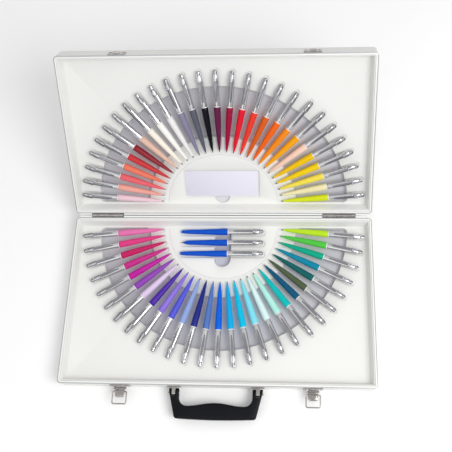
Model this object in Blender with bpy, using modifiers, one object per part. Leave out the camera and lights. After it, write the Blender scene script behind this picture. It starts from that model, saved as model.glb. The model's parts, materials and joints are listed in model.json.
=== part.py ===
"""Open presentation case with two fans of retractable ball pens and three loose blue pens.

Metres, +Z up. X runs along the hinges, -Y is the handle side. The origin is the middle of the base's
underside. Each half of the case is drawn in its own frame at the hinge axis: x along the axis, v away
from it across the rim, and height 0 at the rim plane, negative into the half.
"""
import math

import bmesh
import bpy
from mathutils import Matrix, Vector

# ---- driving dimensions --------------------------------------------------------------------------
CASE_WIDTH = 0.480            # along the hinges
CASE_DEPTH = 0.2635           # hinge side to handle side, one half
BASE_HEIGHT = 0.030
LID_HEIGHT = 0.031
OPEN_ANGLE = math.radians(132.6)
SHELL_WALL = 0.0028
SHELL_FLOOR = 0.0022
CORNER_RADIUS = 0.006
SHELL_ROUND = 0.0016
SEAM_HALF = 0.00015           # half the gap between the closed rims
GAP = 0.0003                  # between pieces that touch
OVERCUT = 0.001               # how far a cutter runs past the face it opens
RIM_WIDTH = 0.004
RIM_HEIGHT = 0.0022
EDGE_CLEAR = 0.0004           # hinge axis to the rims' hinge-side edges

TRAY_SLOPE = 0.0063           # plan width of the tray's sloping border
TRAY_SHEET = 0.0014
RECESS_START = 0.0246         # finger recess, a half ring about the fan's centre, measured from the nibs
RECESS_WIDTH = 0.081
RECESS_DROP = 0.0085
RECESS_HINGE_EDGE = 0.0165    # hinge axis to the recess's straight ends
HOLLOW_INSET = 0.004          # tray border to the hollow under the deck

FAN_CENTRE = 0.011            # hinge axis to the centre of the fan
FAN_PENS = 27
FAN_START = math.radians(5.5)
FAN_MARGIN = 0.0109           # pen ends to the end walls
PEN_DEPTH = 0.0113            # rim plane to the fan pens' axes
CARRIER_BARREL = 0.0546       # nibs to the wires that tie each fan together under the pens
CARRIER_UPPER = 0.0946
CARRIER_WIRE = 0.0008

PEN_LENGTH = 0.1337
BARREL_LENGTH = 0.0757
BARREL_RADIUS = 0.0052
BARREL_WALL = 0.0010
BARREL_EASE = 0.0003          # how much the barrel narrows at the joint
BARREL_STRAIGHT = 0.0053      # the length over which it does
NOSE_RADIUS = 0.0013
BLUNT_RADIUS = 0.0025         # nose of a pen with its point drawn in
NOSE_LENGTH = 0.0085
SHOULDER_RADIUS = 0.0033      # barrel just behind the nose
UPPER_RADIUS = 0.0046
UPPER_WALL = 0.0008
UPPER_LIP = 0.0030            # length of the collar that guides the button
BUTTON_RADIUS = 0.0027
BUTTON_OUT = 0.0062
BUTTON_STROKE = 0.0040
BUTTON_STOP = 0.0045          # shoulder of the upper to the button's collar
BUTTON_COLLAR = 0.0007        # how far the collar stands out
BUTTON_STEM = 0.0180
COLLAR_LENGTH = 0.0025        # along the pen, on the button and on the refill
CLIP_WIDTH = 0.0034
CLIP_THICK = 0.0009
CLIP_LENGTH = 0.046
CLIP_FOOT = 0.0040
CLIP_END = 0.0030             # shoulder of the upper to the clip's foot
CLIP_RISE = 0.0016            # free space between clip and upper
REFILL_RADIUS = 0.0015
POINT_RADIUS = 0.00075        # writing end of the refill
SPRING_SEAT = 0.0125          # nib to the spring's seat in the barrel
SPRING_LENGTH = 0.0120
SPRING_WIRE = 0.00022
SPRING_RADIUS = 0.0025
SPRING_TURNS = 6

BLUE_PENS = ("back", "middle", "front")
BLUE_FIRST = 0.0240           # hinge axis to the first blue pen
BLUE_PITCH = 0.0182
BLUE_SINK = 0.0018            # depth of the blue pens' beds in the deck
BED_END = 0.0030              # free length at each end of a bed
SLOT_WIDTH = 0.025            # thumb slot under the blue pens
SLOT_END = 0.080
SLOT_X = 0.0012

CARD_WIDTH = 0.117
CARD_HEIGHT = 0.044
CARD_THICK = 0.0006
CARD_NEAR = 0.0270            # hinge axis to the card's lower edge
POCKET_SINK = 0.0020
POCKET_MARGIN = 0.0022
NOTCH_RADIUS = 0.0120
NOTCH_SINK = 0.0026

HINGE_INSET = 0.052           # end wall to the middle of each hinge
HINGE_LENGTH = 0.052
HINGE_KNUCKLES = 5
HINGE_PIN_RADIUS = 0.0012
PIN_PLAY = 0.00015
KNUCKLE_WALL = 0.00125
KNUCKLE_CLEAR = 0.0007        # knuckles to the back walls
LEAF_THICK = 0.0010
LEAF_TOP = 0.0006             # rim plane to the leaf's edge
LEAF_DROP = 0.0150

LATCH_INSET = 0.095           # end wall to the middle of each latch
LATCH_PLATE = (0.030, 0.0170, 0.0012)    # width, height, thickness
LATCH_TOP = 0.0030            # rim plane to the top of the plate
LATCH_PIVOT = 0.0125          # rim plane to the lever's pivot
LATCH_CLEAR = 0.0004          # folded lever to the plate
LEVER_WIDTH = 0.0150
LEVER_LENGTH = 0.0135
LEVER_THICK = 0.0012
LEVER_BARREL = 0.0018         # radius of the lever's rolled edge
LATCH_PIN_RADIUS = 0.0010
EAR_THICK = 0.0014
EAR_REACH = 0.0018            # pivot to the ears' outer edges
EAR_HALF = 0.0024
BAIL_REACH = 0.0228           # lever pivot to the bail's cross bar
BAIL_WIRE = 0.0010
BAIL_SEAT = 0.0050            # lever pivot to the bail's own pivot
BAIL_LIFT = 0.0009            # the bail's wire above the lever pivot
LUG_HEIGHT = 0.0023           # lever pivot to the top of the bail's lug
LUG_HALF = 0.0020
LUG_FOOT = 0.0012             # lever pivot to the lug's lower edge
KEEPER_PLATE = (0.026, 0.0130, 0.0010)
KEEPER_NOSE = (0.0095, 0.0030, 0.0030)   # width, height, reach
KEEPER_RISE = 0.0050          # rim plane to the nose
KEEPER_TOP = 0.0025           # rim plane to the plate

HANDLE_WIDTH = 0.1430
HANDLE_REACH = 0.0462         # front wall to the outer edge
HANDLE_LEG = 0.0165
HANDLE_GRIP = 0.0185
HANDLE_THICK = 0.0140
HANDLE_DEPTH = 0.0140         # rim plane to the handle's middle plane
HANDLE_BUMP = 0.0046          # height of the hump in the middle of the grip
HANDLE_POINTS = 12            # steps along it
HANDLE_BEVEL = 0.0040
HANDLE_TAPER = 0.0100         # how much narrower the outer edge is at each end
HANDLE_ROUND = 0.0050         # outer corners
HANDLE_CROWN = 0.0015         # bow of the outer edge
HANDLE_CUT = 0.0080           # cut corners of the opening
HANDLE_CLEAR = 0.0010         # raised handle to the bracket's plate
BRACKET_PLATE = 0.0015
BRACKET_LUG = 0.0060          # width of the lug that each leg takes in its slot
BRACKET_REACH = 0.0040        # pivot axis to the lug's outer edge
BRACKET_HEIGHT = 0.0120
BRACKET_WIDTH = 0.0200
HANDLE_PIN_RADIUS = 0.0018

# ---- sizes worked out from them ------------------------------------------------------------------
HALF_W = CASE_WIDTH / 2
KNUCKLE_RADIUS = HINGE_PIN_RADIUS + PIN_PLAY + KNUCKLE_WALL
NEAR = KNUCKLE_RADIUS + KNUCKLE_CLEAR
FAR = NEAR + CASE_DEPTH
HINGE_Y = NEAR + CASE_DEPTH / 2
FAN_STEP = (math.pi - 2 * FAN_START) / (FAN_PENS - 1)
BORDER = RIM_WIDTH + TRAY_SLOPE
FAN_REACH = min(HALF_W - FAN_MARGIN, FAR - FAN_CENTRE - BORDER - TRAY_SHEET - 2 * GAP)
FAN_NIB = FAN_REACH - PEN_LENGTH
RECESS_IN = FAN_NIB + RECESS_START
RECESS_OUT = RECESS_IN + RECESS_WIDTH
DECK = PEN_DEPTH + UPPER_RADIUS + GAP
RECESS_FLOOR = DECK + RECESS_DROP
CLIP_TOP = UPPER_RADIUS + CLIP_RISE + CLIP_THICK
SHOULDER = PEN_LENGTH - BUTTON_OUT
BLUE_DEPTH = DECK + BLUE_SINK - GAP - BARREL_RADIUS
HINGE_X = HALF_W - HINGE_INSET
LATCH_X = HALF_W - LATCH_INSET
LATCH_PIVOT_OUT = GAP + LATCH_PLATE[2] + LUG_HEIGHT + LATCH_CLEAR
BAIL_WIDTH = LEVER_WIDTH + 2 * (GAP + EAR_THICK + GAP + BAIL_WIRE)
HANDLE_PIVOT = GAP + BRACKET_PLATE + HANDLE_CLEAR + HANDLE_THICK / 2

# ---- a fresh scene -------------------------------------------------------------------------------
for old in list(bpy.data.objects):
    bpy.data.objects.remove(old, do_unlink=True)

parts = bpy.data.collections.new("pen_presentation_case")
cutters = bpy.data.collections.new("cutters")
bpy.context.scene.collection.children.link(parts)
bpy.context.scene.collection.children.link(cutters)


def material(name, colour, roughness, metallic=0.0):
    made = bpy.data.materials.new(name)
    made.use_nodes = True
    shader = made.node_tree.nodes["Principled BSDF"]
    shader.inputs["Base Color"].default_value = (*colour, 1.0)
    shader.inputs["Roughness"].default_value = roughness
    shader.inputs["Metallic"].default_value = metallic
    return made


WHITE = material("white_laminate", (0.86, 0.86, 0.84), 0.45)
TRAY_WHITE = material("tray_white", (0.84, 0.84, 0.82), 0.5)
ALUMINIUM = material("edge_aluminium", (0.75, 0.76, 0.78), 0.35, 1.0)
CHROME = material("chrome", (0.80, 0.80, 0.82), 0.15, 1.0)
BLACK = material("handle_black", (0.02, 0.02, 0.025), 0.4)
BLUE = material("pen_blue", (0.02, 0.16, 0.62), 0.35)
MIXED = material("pen_colours", (0.75, 0.25, 0.35), 0.35)
CARD = material("card", (0.78, 0.76, 0.86), 0.6)
BRASS = material("refill_brass", (0.75, 0.60, 0.30), 0.3, 1.0)


# ---- building tools ------------------------------------------------------------------------------
def empty(name, location, turn=0.0):
    made = bpy.data.objects.new(name, None)
    made.location = location
    made.rotation_euler = (turn, 0.0, 0.0)
    parts.objects.link(made)
    return made


def place(name, mesh, parent=None, location=(0, 0, 0), rotation=(0, 0, 0), look=None, cutter=False):
    """Puts a mesh in the scene as one named object, or as a hidden cutter."""
    made = bpy.data.objects.new(name, mesh)
    made.parent = parent
    made.location = location
    made.rotation_euler = rotation
    (cutters if cutter else parts).objects.link(made)
    if cutter:
        made.hide_render = True
        made.display_type = "WIRE"
    if look:
        mesh.materials.clear()
        mesh.materials.append(look)
    return made


def combine(target, tool, operation="DIFFERENCE"):
    change = target.modifiers.new(operation.lower(), "BOOLEAN")
    change.operation = operation
    change.object = tool


def soften(target, width, segments=2, angle=math.radians(40)):
    edge = target.modifiers.new("rounding", "BEVEL")
    edge.width = width
    edge.segments = segments
    edge.limit_method = "ANGLE"
    edge.angle_limit = angle


def evaluated(thing):
    """A plain mesh of an object as its modifiers leave it, with its seams welded."""
    bpy.context.view_layer.update()
    graph = bpy.context.evaluated_depsgraph_get()
    made = bpy.data.meshes.new_from_object(thing.evaluated_get(graph))
    shape = bmesh.new()
    shape.from_mesh(made)
    bmesh.ops.remove_doubles(shape, verts=shape.verts, dist=1e-6)
    bmesh.ops.recalc_face_normals(shape, faces=shape.faces)
    shape.to_mesh(made)
    shape.free()
    return made


def finished(thing):
    made = evaluated(thing)
    bpy.data.objects.remove(thing, do_unlink=True)
    return made


def slab(outline, low, high):
    """A flat outline, given as x and y points, between two heights."""
    curve = bpy.data.curves.new("outline", "CURVE")
    curve.dimensions = "2D"
    curve.fill_mode = "BOTH"
    curve.extrude = (high - low) / 2
    line = curve.splines.new("POLY")
    line.points.add(len(outline) - 1)
    for point, (x, y) in zip(line.points, outline):
        point.co = (x, y, 0.0, 1.0)
    line.use_cyclic_u = True
    drawn = bpy.data.objects.new("outline", curve)
    cutters.objects.link(drawn)
    mesh = finished(drawn)
    mesh.transform(Matrix.Translation((0, 0, (low + high) / 2)))
    return mesh


def box(low, high):
    shape = bmesh.new()
    bmesh.ops.create_cube(shape, size=1.0)
    size = [b - a for a, b in zip(low, high)]
    middle = [(a + b) / 2 for a, b in zip(low, high)]
    bmesh.ops.scale(shape, vec=size, verts=shape.verts)
    bmesh.ops.translate(shape, vec=middle, verts=shape.verts)
    mesh = bpy.data.meshes.new("box")
    shape.to_mesh(mesh)
    shape.free()
    return mesh


def rod(radius, start, end, sides=16):
    """A cylinder between two points."""
    start, end = Vector(start), Vector(end)
    shape = bmesh.new()
    bmesh.ops.create_cone(shape, cap_ends=True, segments=sides, radius1=radius, radius2=radius,
                          depth=(end - start).length)
    turn = (end - start).to_track_quat("Z", "Y").to_matrix().to_4x4()
    bmesh.ops.transform(shape, matrix=Matrix.Translation((start + end) / 2) @ turn, verts=shape.verts)
    mesh = bpy.data.meshes.new("rod")
    shape.to_mesh(mesh)
    shape.free()
    return mesh


def joined(meshes):
    """Several meshes side by side in one, each given with the matrix that places it."""
    shape = bmesh.new()
    for mesh, matrix in meshes:
        copy = mesh.copy()
        copy.transform(matrix)
        shape.from_mesh(copy)
        bpy.data.meshes.remove(copy)
    made = bpy.data.meshes.new("joined")
    shape.to_mesh(made)
    shape.free()
    return made


def turned(profile, sides, closed=False):
    """A profile of radius and length points, turned about X and running from the nib to the button."""
    mesh = bpy.data.meshes.new("profile")
    points = [(radius, 0.0, length) for radius, length in profile]
    edges = [(i, i + 1) for i in range(len(points) - 1)]
    if closed:
        edges.append((len(points) - 1, 0))
    mesh.from_pydata(points, edges, [])
    drawn = bpy.data.objects.new("profile", mesh)
    cutters.objects.link(drawn)
    screw = drawn.modifiers.new("turn", "SCREW")
    screw.axis = "Z"
    screw.steps = sides
    screw.render_steps = sides
    screw.use_merge_vertices = True
    screw.merge_threshold = 1e-6
    made = finished(drawn)
    made.transform(Matrix.Rotation(math.pi / 2, 4, "Y"))
    return made


def arc(centre, radius, start, end, count):
    step = (end - start) / count
    return [(centre[0] + radius * math.cos(start + i * step),
             centre[1] + radius * math.sin(start + i * step)) for i in range(count + 1)]


def rounded_rectangle(x0, x1, y0, y1, radius, count=3):
    corners = (((x1 - radius, y1 - radius), 0.0), ((x0 + radius, y1 - radius), 0.5),
               ((x0 + radius, y0 + radius), 1.0), ((x1 - radius, y0 + radius), 1.5))
    points = []
    for centre, turn in corners:
        points += arc(centre, radius, turn * math.pi, (turn + 0.5) * math.pi, count)
    return points


def half_outline(side, inset, radius):
    """The case's plan, one half, drawn in from its outer walls by inset."""
    y0, y1 = sorted((side * (NEAR + inset), side * (FAR - inset)))
    return rounded_rectangle(-HALF_W + inset, HALF_W - inset, y0, y1, radius)


def half_ring(side, inner, outer, near):
    """A half ring about the fan's centre, cut off straight at a distance from the hinge axis."""
    cut = near - FAN_CENTRE
    far_turn = math.asin(cut / outer)
    near_turn = math.asin(cut / inner)
    outside = arc((0, FAN_CENTRE), outer, far_turn, math.pi - far_turn, 40)
    inside = arc((0, FAN_CENTRE), inner, math.pi - near_turn, near_turn, 32)
    return [(x, side * y) for x, y in outside + inside]


def half_disc(side, radius, near):
    turn = math.asin((near - FAN_CENTRE) / radius)
    return [(x, side * y) for x, y in arc((0, FAN_CENTRE), radius, turn, math.pi - turn, 28)]


# ---- shells, rims and trays ----------------------------------------------------------------------
def shell(name, side, height, parent):
    body = place(name, slab(half_outline(side, 0.0, CORNER_RADIUS), -height, -RIM_HEIGHT - SEAM_HALF - GAP),
                 parent, look=WHITE)
    soften(body, SHELL_ROUND)
    inner = slab(half_outline(side, SHELL_WALL, CORNER_RADIUS - SHELL_WALL), -height + SHELL_FLOOR, OVERCUT)
    combine(body, place(name + "_inside", inner, parent, cutter=True))
    return body


def rim(name, side, parent):
    """The frame round the opening, with an edge that reaches to the hinge axis between the hinges."""
    body = place(name, slab(half_outline(side, 0.0, CORNER_RADIUS), -RIM_HEIGHT - SEAM_HALF, -SEAM_HALF),
                 parent, look=ALUMINIUM)
    opening = slab(half_outline(side, RIM_WIDTH, CORNER_RADIUS / 2), -height_of(side), OVERCUT)
    combine(body, place(name + "_opening", opening, parent, cutter=True))
    hinge_half = HINGE_LENGTH / 2 + 2 * GAP
    ends = (CORNER_RADIUS - HALF_W, -HINGE_X - hinge_half, hinge_half - HINGE_X, HINGE_X - hinge_half,
            HINGE_X + hinge_half, HALF_W - CORNER_RADIUS)
    y0, y1 = sorted((side * EDGE_CLEAR, side * (NEAR + RIM_WIDTH / 2)))
    strips = [(box((x0, y0, -RIM_HEIGHT - SEAM_HALF), (x1, y1, -SEAM_HALF)), Matrix())
              for x0, x1 in zip(ends[::2], ends[1::2])]
    combine(body, place(name + "_hinge_edge", joined(strips), parent, cutter=True), "UNION")
    return body


def height_of(side):
    return BASE_HEIGHT if side < 0 else LID_HEIGHT


def sloped(outline, low, high, low_inset, side):
    """A slab of the tray's plan whose lower face is drawn in, so that its border slopes."""
    mesh = slab(outline, low, high)
    middle = side * (NEAR + FAR) / 2
    across = HALF_W - RIM_WIDTH
    along = (FAR - NEAR) / 2 - RIM_WIDTH
    for vertex in mesh.vertices:
        if vertex.co.z < (low + high) / 2:
            vertex.co.x *= (across - low_inset) / across
            vertex.co.y = middle + (vertex.co.y - middle) * (along - low_inset) / along
    return mesh


def tray(name, side, parent, features, deep_feature=None):
    """The formed tray: a sloping border, a deck and a half ring of finger recess, one sheet thick."""
    top = -SEAM_HALF - GAP
    bottom = -RECESS_FLOOR - TRAY_SHEET
    border = half_outline(side, RIM_WIDTH + GAP, CORNER_RADIUS / 2)
    body = place(name, slab(border, bottom, top), parent, look=TRAY_WHITE)

    def cut(part, mesh):
        combine(body, place(name + "_" + part, mesh, parent, cutter=True))

    skirt = half_outline(side, RIM_WIDTH + GAP + TRAY_SHEET, CORNER_RADIUS / 2)
    cut("well", sloped(skirt, -DECK, OVERCUT, TRAY_SLOPE, side))
    cut("recess", slab(half_ring(side, RECESS_IN, RECESS_OUT, RECESS_HINGE_EDGE), -RECESS_FLOOR, OVERCUT))
    for index, feature in enumerate(features):
        cut(f"feature_{index}", feature)

    # the sheet is hollow underneath: outside the recess, and inside the half disc that it encloses
    under = -DECK - TRAY_SHEET
    hollow = slab(half_outline(side, BORDER + HOLLOW_INSET, CORNER_RADIUS / 2), bottom - OVERCUT, under)
    outside = place(name + "_hollow", hollow, parent, cutter=True)
    disc = half_disc(side, RECESS_OUT + TRAY_SHEET, RECESS_HINGE_EDGE - TRAY_SHEET)
    keep = slab(disc, bottom - 2 * OVERCUT, under + OVERCUT)
    combine(outside, place(name + "_keep", keep, parent, cutter=True))
    combine(body, outside)
    inner_disc = half_disc(side, RECESS_IN - TRAY_SHEET, RECESS_HINGE_EDGE + TRAY_SHEET)
    deepest = max(BLUE_SINK, POCKET_SINK, NOTCH_SINK)
    inner = place(name + "_inner_hollow", slab(inner_disc, bottom - OVERCUT, under - deepest), parent,
                  cutter=True)
    if deep_feature:
        combine(inner, place(name + "_inner_keep", deep_feature, parent, cutter=True))
    combine(body, inner)
    return body


def slot_outline(side, grow):
    """The thumb slot: straight sides and a round end towards the handle."""
    radius = SLOT_WIDTH / 2 + grow
    end = arc((SLOT_X, SLOT_END - SLOT_WIDTH / 2), radius, 0.0, math.pi, 12)
    near = RECESS_HINGE_EDGE - grow
    points = [(SLOT_X + radius, near)] + end + [(SLOT_X - radius, near)]
    return [(x, side * y) for x, y in points]


def pen_bed(side, v):
    half = PEN_LENGTH / 2 + BED_END
    wide = BARREL_RADIUS + GAP
    y0, y1 = sorted((side * (v - wide), side * (v + wide)))
    return slab(rounded_rectangle(-half, half, y0, y1, 0.002, 2), -DECK - BLUE_SINK, OVERCUT)


# ---- pens ----------------------------------------------------------------------------------------
def pen_matrix(side, turn):
    """Places a pen drawn along X from its nib, on the fan at an angle."""
    out = Vector((math.cos(turn), side * math.sin(turn), 0.0))
    up = Vector((0.0, 0.0, 1.0))
    across = up.cross(out)
    matrix = Matrix((out, across, up)).transposed().to_4x4()
    start = Vector((0.0, side * FAN_CENTRE, -PEN_DEPTH)) + FAN_NIB * out
    return Matrix.Translation(start) @ matrix


def solid_barrel(sides):
    profile = [(0.0, 0.0), (NOSE_RADIUS, 0.0), (SHOULDER_RADIUS, NOSE_LENGTH), (BARREL_RADIUS, BARREL_LENGTH),
               (0.0, BARREL_LENGTH)]
    return turned(profile, sides)


def clip_mesh(start, end):
    """A flat clip over the upper, with its foot at the button's end."""
    strip = box((end - CLIP_LENGTH, -CLIP_WIDTH / 2, CLIP_TOP - CLIP_THICK), (end, CLIP_WIDTH / 2, CLIP_TOP))
    foot = box((end - CLIP_FOOT, -CLIP_WIDTH / 2, start), (end, CLIP_WIDTH / 2, CLIP_TOP))
    body = place("clip_strip", strip)
    combine(body, place("clip_foot", foot, cutter=True), "UNION")
    return finished(body)


def solid_upper(sides):
    neck = UPPER_RADIUS - BUTTON_RADIUS
    profile = [(0.0, BARREL_LENGTH + GAP), (UPPER_RADIUS, BARREL_LENGTH + GAP),
               (UPPER_RADIUS, SHOULDER - neck), (BUTTON_RADIUS, SHOULDER), (BUTTON_RADIUS, PEN_LENGTH),
               (0.0, PEN_LENGTH)]
    body = place("upper", turned(profile, sides))
    clip = clip_mesh(UPPER_RADIUS / 2, SHOULDER - CLIP_END)
    combine(body, place("upper_clip", clip, cutter=True), "UNION")
    return finished(body)


def fan(name, side, parent, pen, carrier, look):
    """All the pens of one half as one solid, tied by a wire hidden in the finger recess under them."""
    turns = [FAN_START + i * FAN_STEP for i in range(FAN_PENS)]
    body = place(name, joined([(pen, pen_matrix(side, turn)) for turn in turns]), parent, look=look)
    radius = FAN_NIB + carrier
    outside = arc((0, FAN_CENTRE), radius + CARRIER_WIRE, turns[0], turns[-1], FAN_PENS - 1)
    inside = arc((0, FAN_CENTRE), radius - CARRIER_WIRE, turns[-1], turns[0], FAN_PENS - 1)
    low = -PEN_DEPTH - UPPER_RADIUS - CARRIER_WIRE
    wire = slab([(x, side * y) for x, y in outside + inside], low, low + 3 * CARRIER_WIRE)
    combine(body, place(name + "_wire", wire, parent, cutter=True), "UNION")
    return body


def blue_pen(where, v, blunt):
    """One loose pen with all of its pieces, on an empty at its nib, along +X."""
    pen = empty(f"blue_pen_{where}_axis", (-PEN_LENGTH / 2, -v, -BLUE_DEPTH))
    pen.parent = base_frame
    nose = BLUNT_RADIUS if blunt else NOSE_RADIUS
    bore = POINT_RADIUS + (2 * GAP if blunt else GAP)
    inside = BARREL_RADIUS - BARREL_WALL
    spring_bore = SPRING_RADIUS + 2.5 * SPRING_WIRE
    spring_end = SPRING_SEAT + SPRING_LENGTH
    barrel = [(bore, 0.0), (nose, 0.0), (SHOULDER_RADIUS, NOSE_LENGTH),
              (BARREL_RADIUS, BARREL_LENGTH - BARREL_STRAIGHT), (BARREL_RADIUS - BARREL_EASE, BARREL_LENGTH),
              (inside, BARREL_LENGTH), (spring_bore, spring_end), (spring_bore, SPRING_SEAT),
              (bore, SPRING_SEAT - (spring_bore - bore) * 2)]
    place(f"blue_pen_{where}_barrel", turned(barrel, 14, True), pen, look=BLUE)

    inner = UPPER_RADIUS - UPPER_WALL
    hole = BUTTON_RADIUS + GAP
    lip = hole + UPPER_WALL
    taper = 2 * (UPPER_RADIUS - lip) + GAP
    joint = BARREL_LENGTH + GAP
    upper = [(inner, joint), (UPPER_RADIUS, joint), (UPPER_RADIUS, SHOULDER - taper), (lip, SHOULDER),
             (hole, SHOULDER), (hole, SHOULDER - UPPER_LIP), (inner, SHOULDER - UPPER_LIP - UPPER_WALL)]
    place(f"blue_pen_{where}_upper", turned(upper, 14, True), pen, look=CHROME)
    place(f"blue_pen_{where}_clip", clip_mesh(UPPER_RADIUS + GAP, SHOULDER - CLIP_END), pen, look=CHROME)

    stop = SHOULDER - BUTTON_STOP
    stem = stop - BUTTON_STEM
    slim = BUTTON_RADIUS - BUTTON_COLLAR
    ring = BUTTON_RADIUS + BUTTON_COLLAR
    collar = stop - COLLAR_LENGTH
    button = [(0.0, stem), (slim, stem), (slim, collar), (ring, collar), (ring, stop), (BUTTON_RADIUS, stop),
              (BUTTON_RADIUS, PEN_LENGTH - BUTTON_COLLAR), (slim, PEN_LENGTH), (0.0, PEN_LENGTH)]
    place(f"blue_pen_{where}_button", turned(button, 14), pen, look=CHROME)

    back = stem - GAP
    front = BUTTON_STROKE if blunt else GAP
    shoulder = spring_end + 2 * GAP + BUTTON_STROKE
    heel = shoulder + COLLAR_LENGTH
    # the refill widens only where the spring's bore, a cone of 1 in 2, clears it with the point out
    step = SPRING_SEAT + BUTTON_STROKE - 2 * (spring_bore - REFILL_RADIUS - GAP)
    refill = [(0.0, front), (POINT_RADIUS, front + POINT_RADIUS), (POINT_RADIUS, step - POINT_RADIUS),
              (REFILL_RADIUS, step), (REFILL_RADIUS, shoulder),
              (SPRING_RADIUS, shoulder), (SPRING_RADIUS, heel), (REFILL_RADIUS, heel),
              (REFILL_RADIUS, back), (0.0, back)]
    place(f"blue_pen_{where}_refill", turned(refill, 10), pen, look=BRASS)
    spring = spring_mesh(SPRING_SEAT + 2 * SPRING_WIRE, spring_end)
    place(f"blue_pen_{where}_spring", spring, pen, look=CHROME)
    return pen


def spring_mesh(start, end):
    curve = bpy.data.curves.new("spring", "CURVE")
    curve.dimensions = "3D"
    curve.bevel_depth = SPRING_WIRE
    curve.bevel_resolution = 0
    curve.use_fill_caps = True
    curve.render_resolution_u = 0
    line = curve.splines.new("POLY")
    count = SPRING_TURNS * 7
    line.points.add(count)
    for i, point in enumerate(line.points):
        turn = 2 * math.pi * i * SPRING_TURNS / count
        along = start + (end - start) * i / count
        point.co = (along, SPRING_RADIUS * math.cos(turn), SPRING_RADIUS * math.sin(turn), 1.0)
    drawn = bpy.data.objects.new("spring", curve)
    cutters.objects.link(drawn)
    return finished(drawn)


# ---- hinges --------------------------------------------------------------------------------------
def hinge(where, centre):
    """A five-knuckle butt hinge: a leaf on each half and a pin on the axis between them."""
    pitch = HINGE_LENGTH / HINGE_KNUCKLES
    left = centre - HINGE_LENGTH / 2
    for half, parent, side, first in (("base", base_frame, -1, 0), ("lid", lid_frame, 1, 1)):
        outer = side * (NEAR - GAP)
        inner = side * (NEAR - GAP - LEAF_THICK)
        y0, y1 = sorted((inner, outer))
        plate = box((left, y0, -LEAF_DROP), (left + HINGE_LENGTH, y1, -LEAF_TOP))
        leaf = place(f"hinge_{where}_{half}_leaf", plate, parent, look=CHROME)
        knuckles = []
        gaps = []
        for i in range(HINGE_KNUCKLES):
            x0, x1 = left + i * pitch + GAP / 2, left + (i + 1) * pitch - GAP / 2
            if i % 2 == first:
                knuckles.append((rod(KNUCKLE_RADIUS, (x0, 0, 0), (x1, 0, 0)), Matrix()))
            else:
                reach = KNUCKLE_RADIUS + GAP
                gaps.append((rod(reach, (x0 - GAP, 0, 0), (x1 + GAP, 0, 0)), Matrix()))
        tool = f"hinge_{where}_{half}"
        combine(leaf, place(tool + "_knuckles", joined(knuckles), parent, cutter=True), "UNION")
        combine(leaf, place(tool + "_gaps", joined(gaps), parent, cutter=True))
        bore = rod(HINGE_PIN_RADIUS + PIN_PLAY, (left - OVERCUT, 0, 0), (left + HINGE_LENGTH + OVERCUT, 0, 0))
        combine(leaf, place(tool + "_bore", bore, parent, cutter=True))
    pin = rod(HINGE_PIN_RADIUS, (left, 0, 0), (left + HINGE_LENGTH, 0, 0))
    place(f"hinge_{where}_pin", pin, base_frame, look=CHROME)


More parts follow.
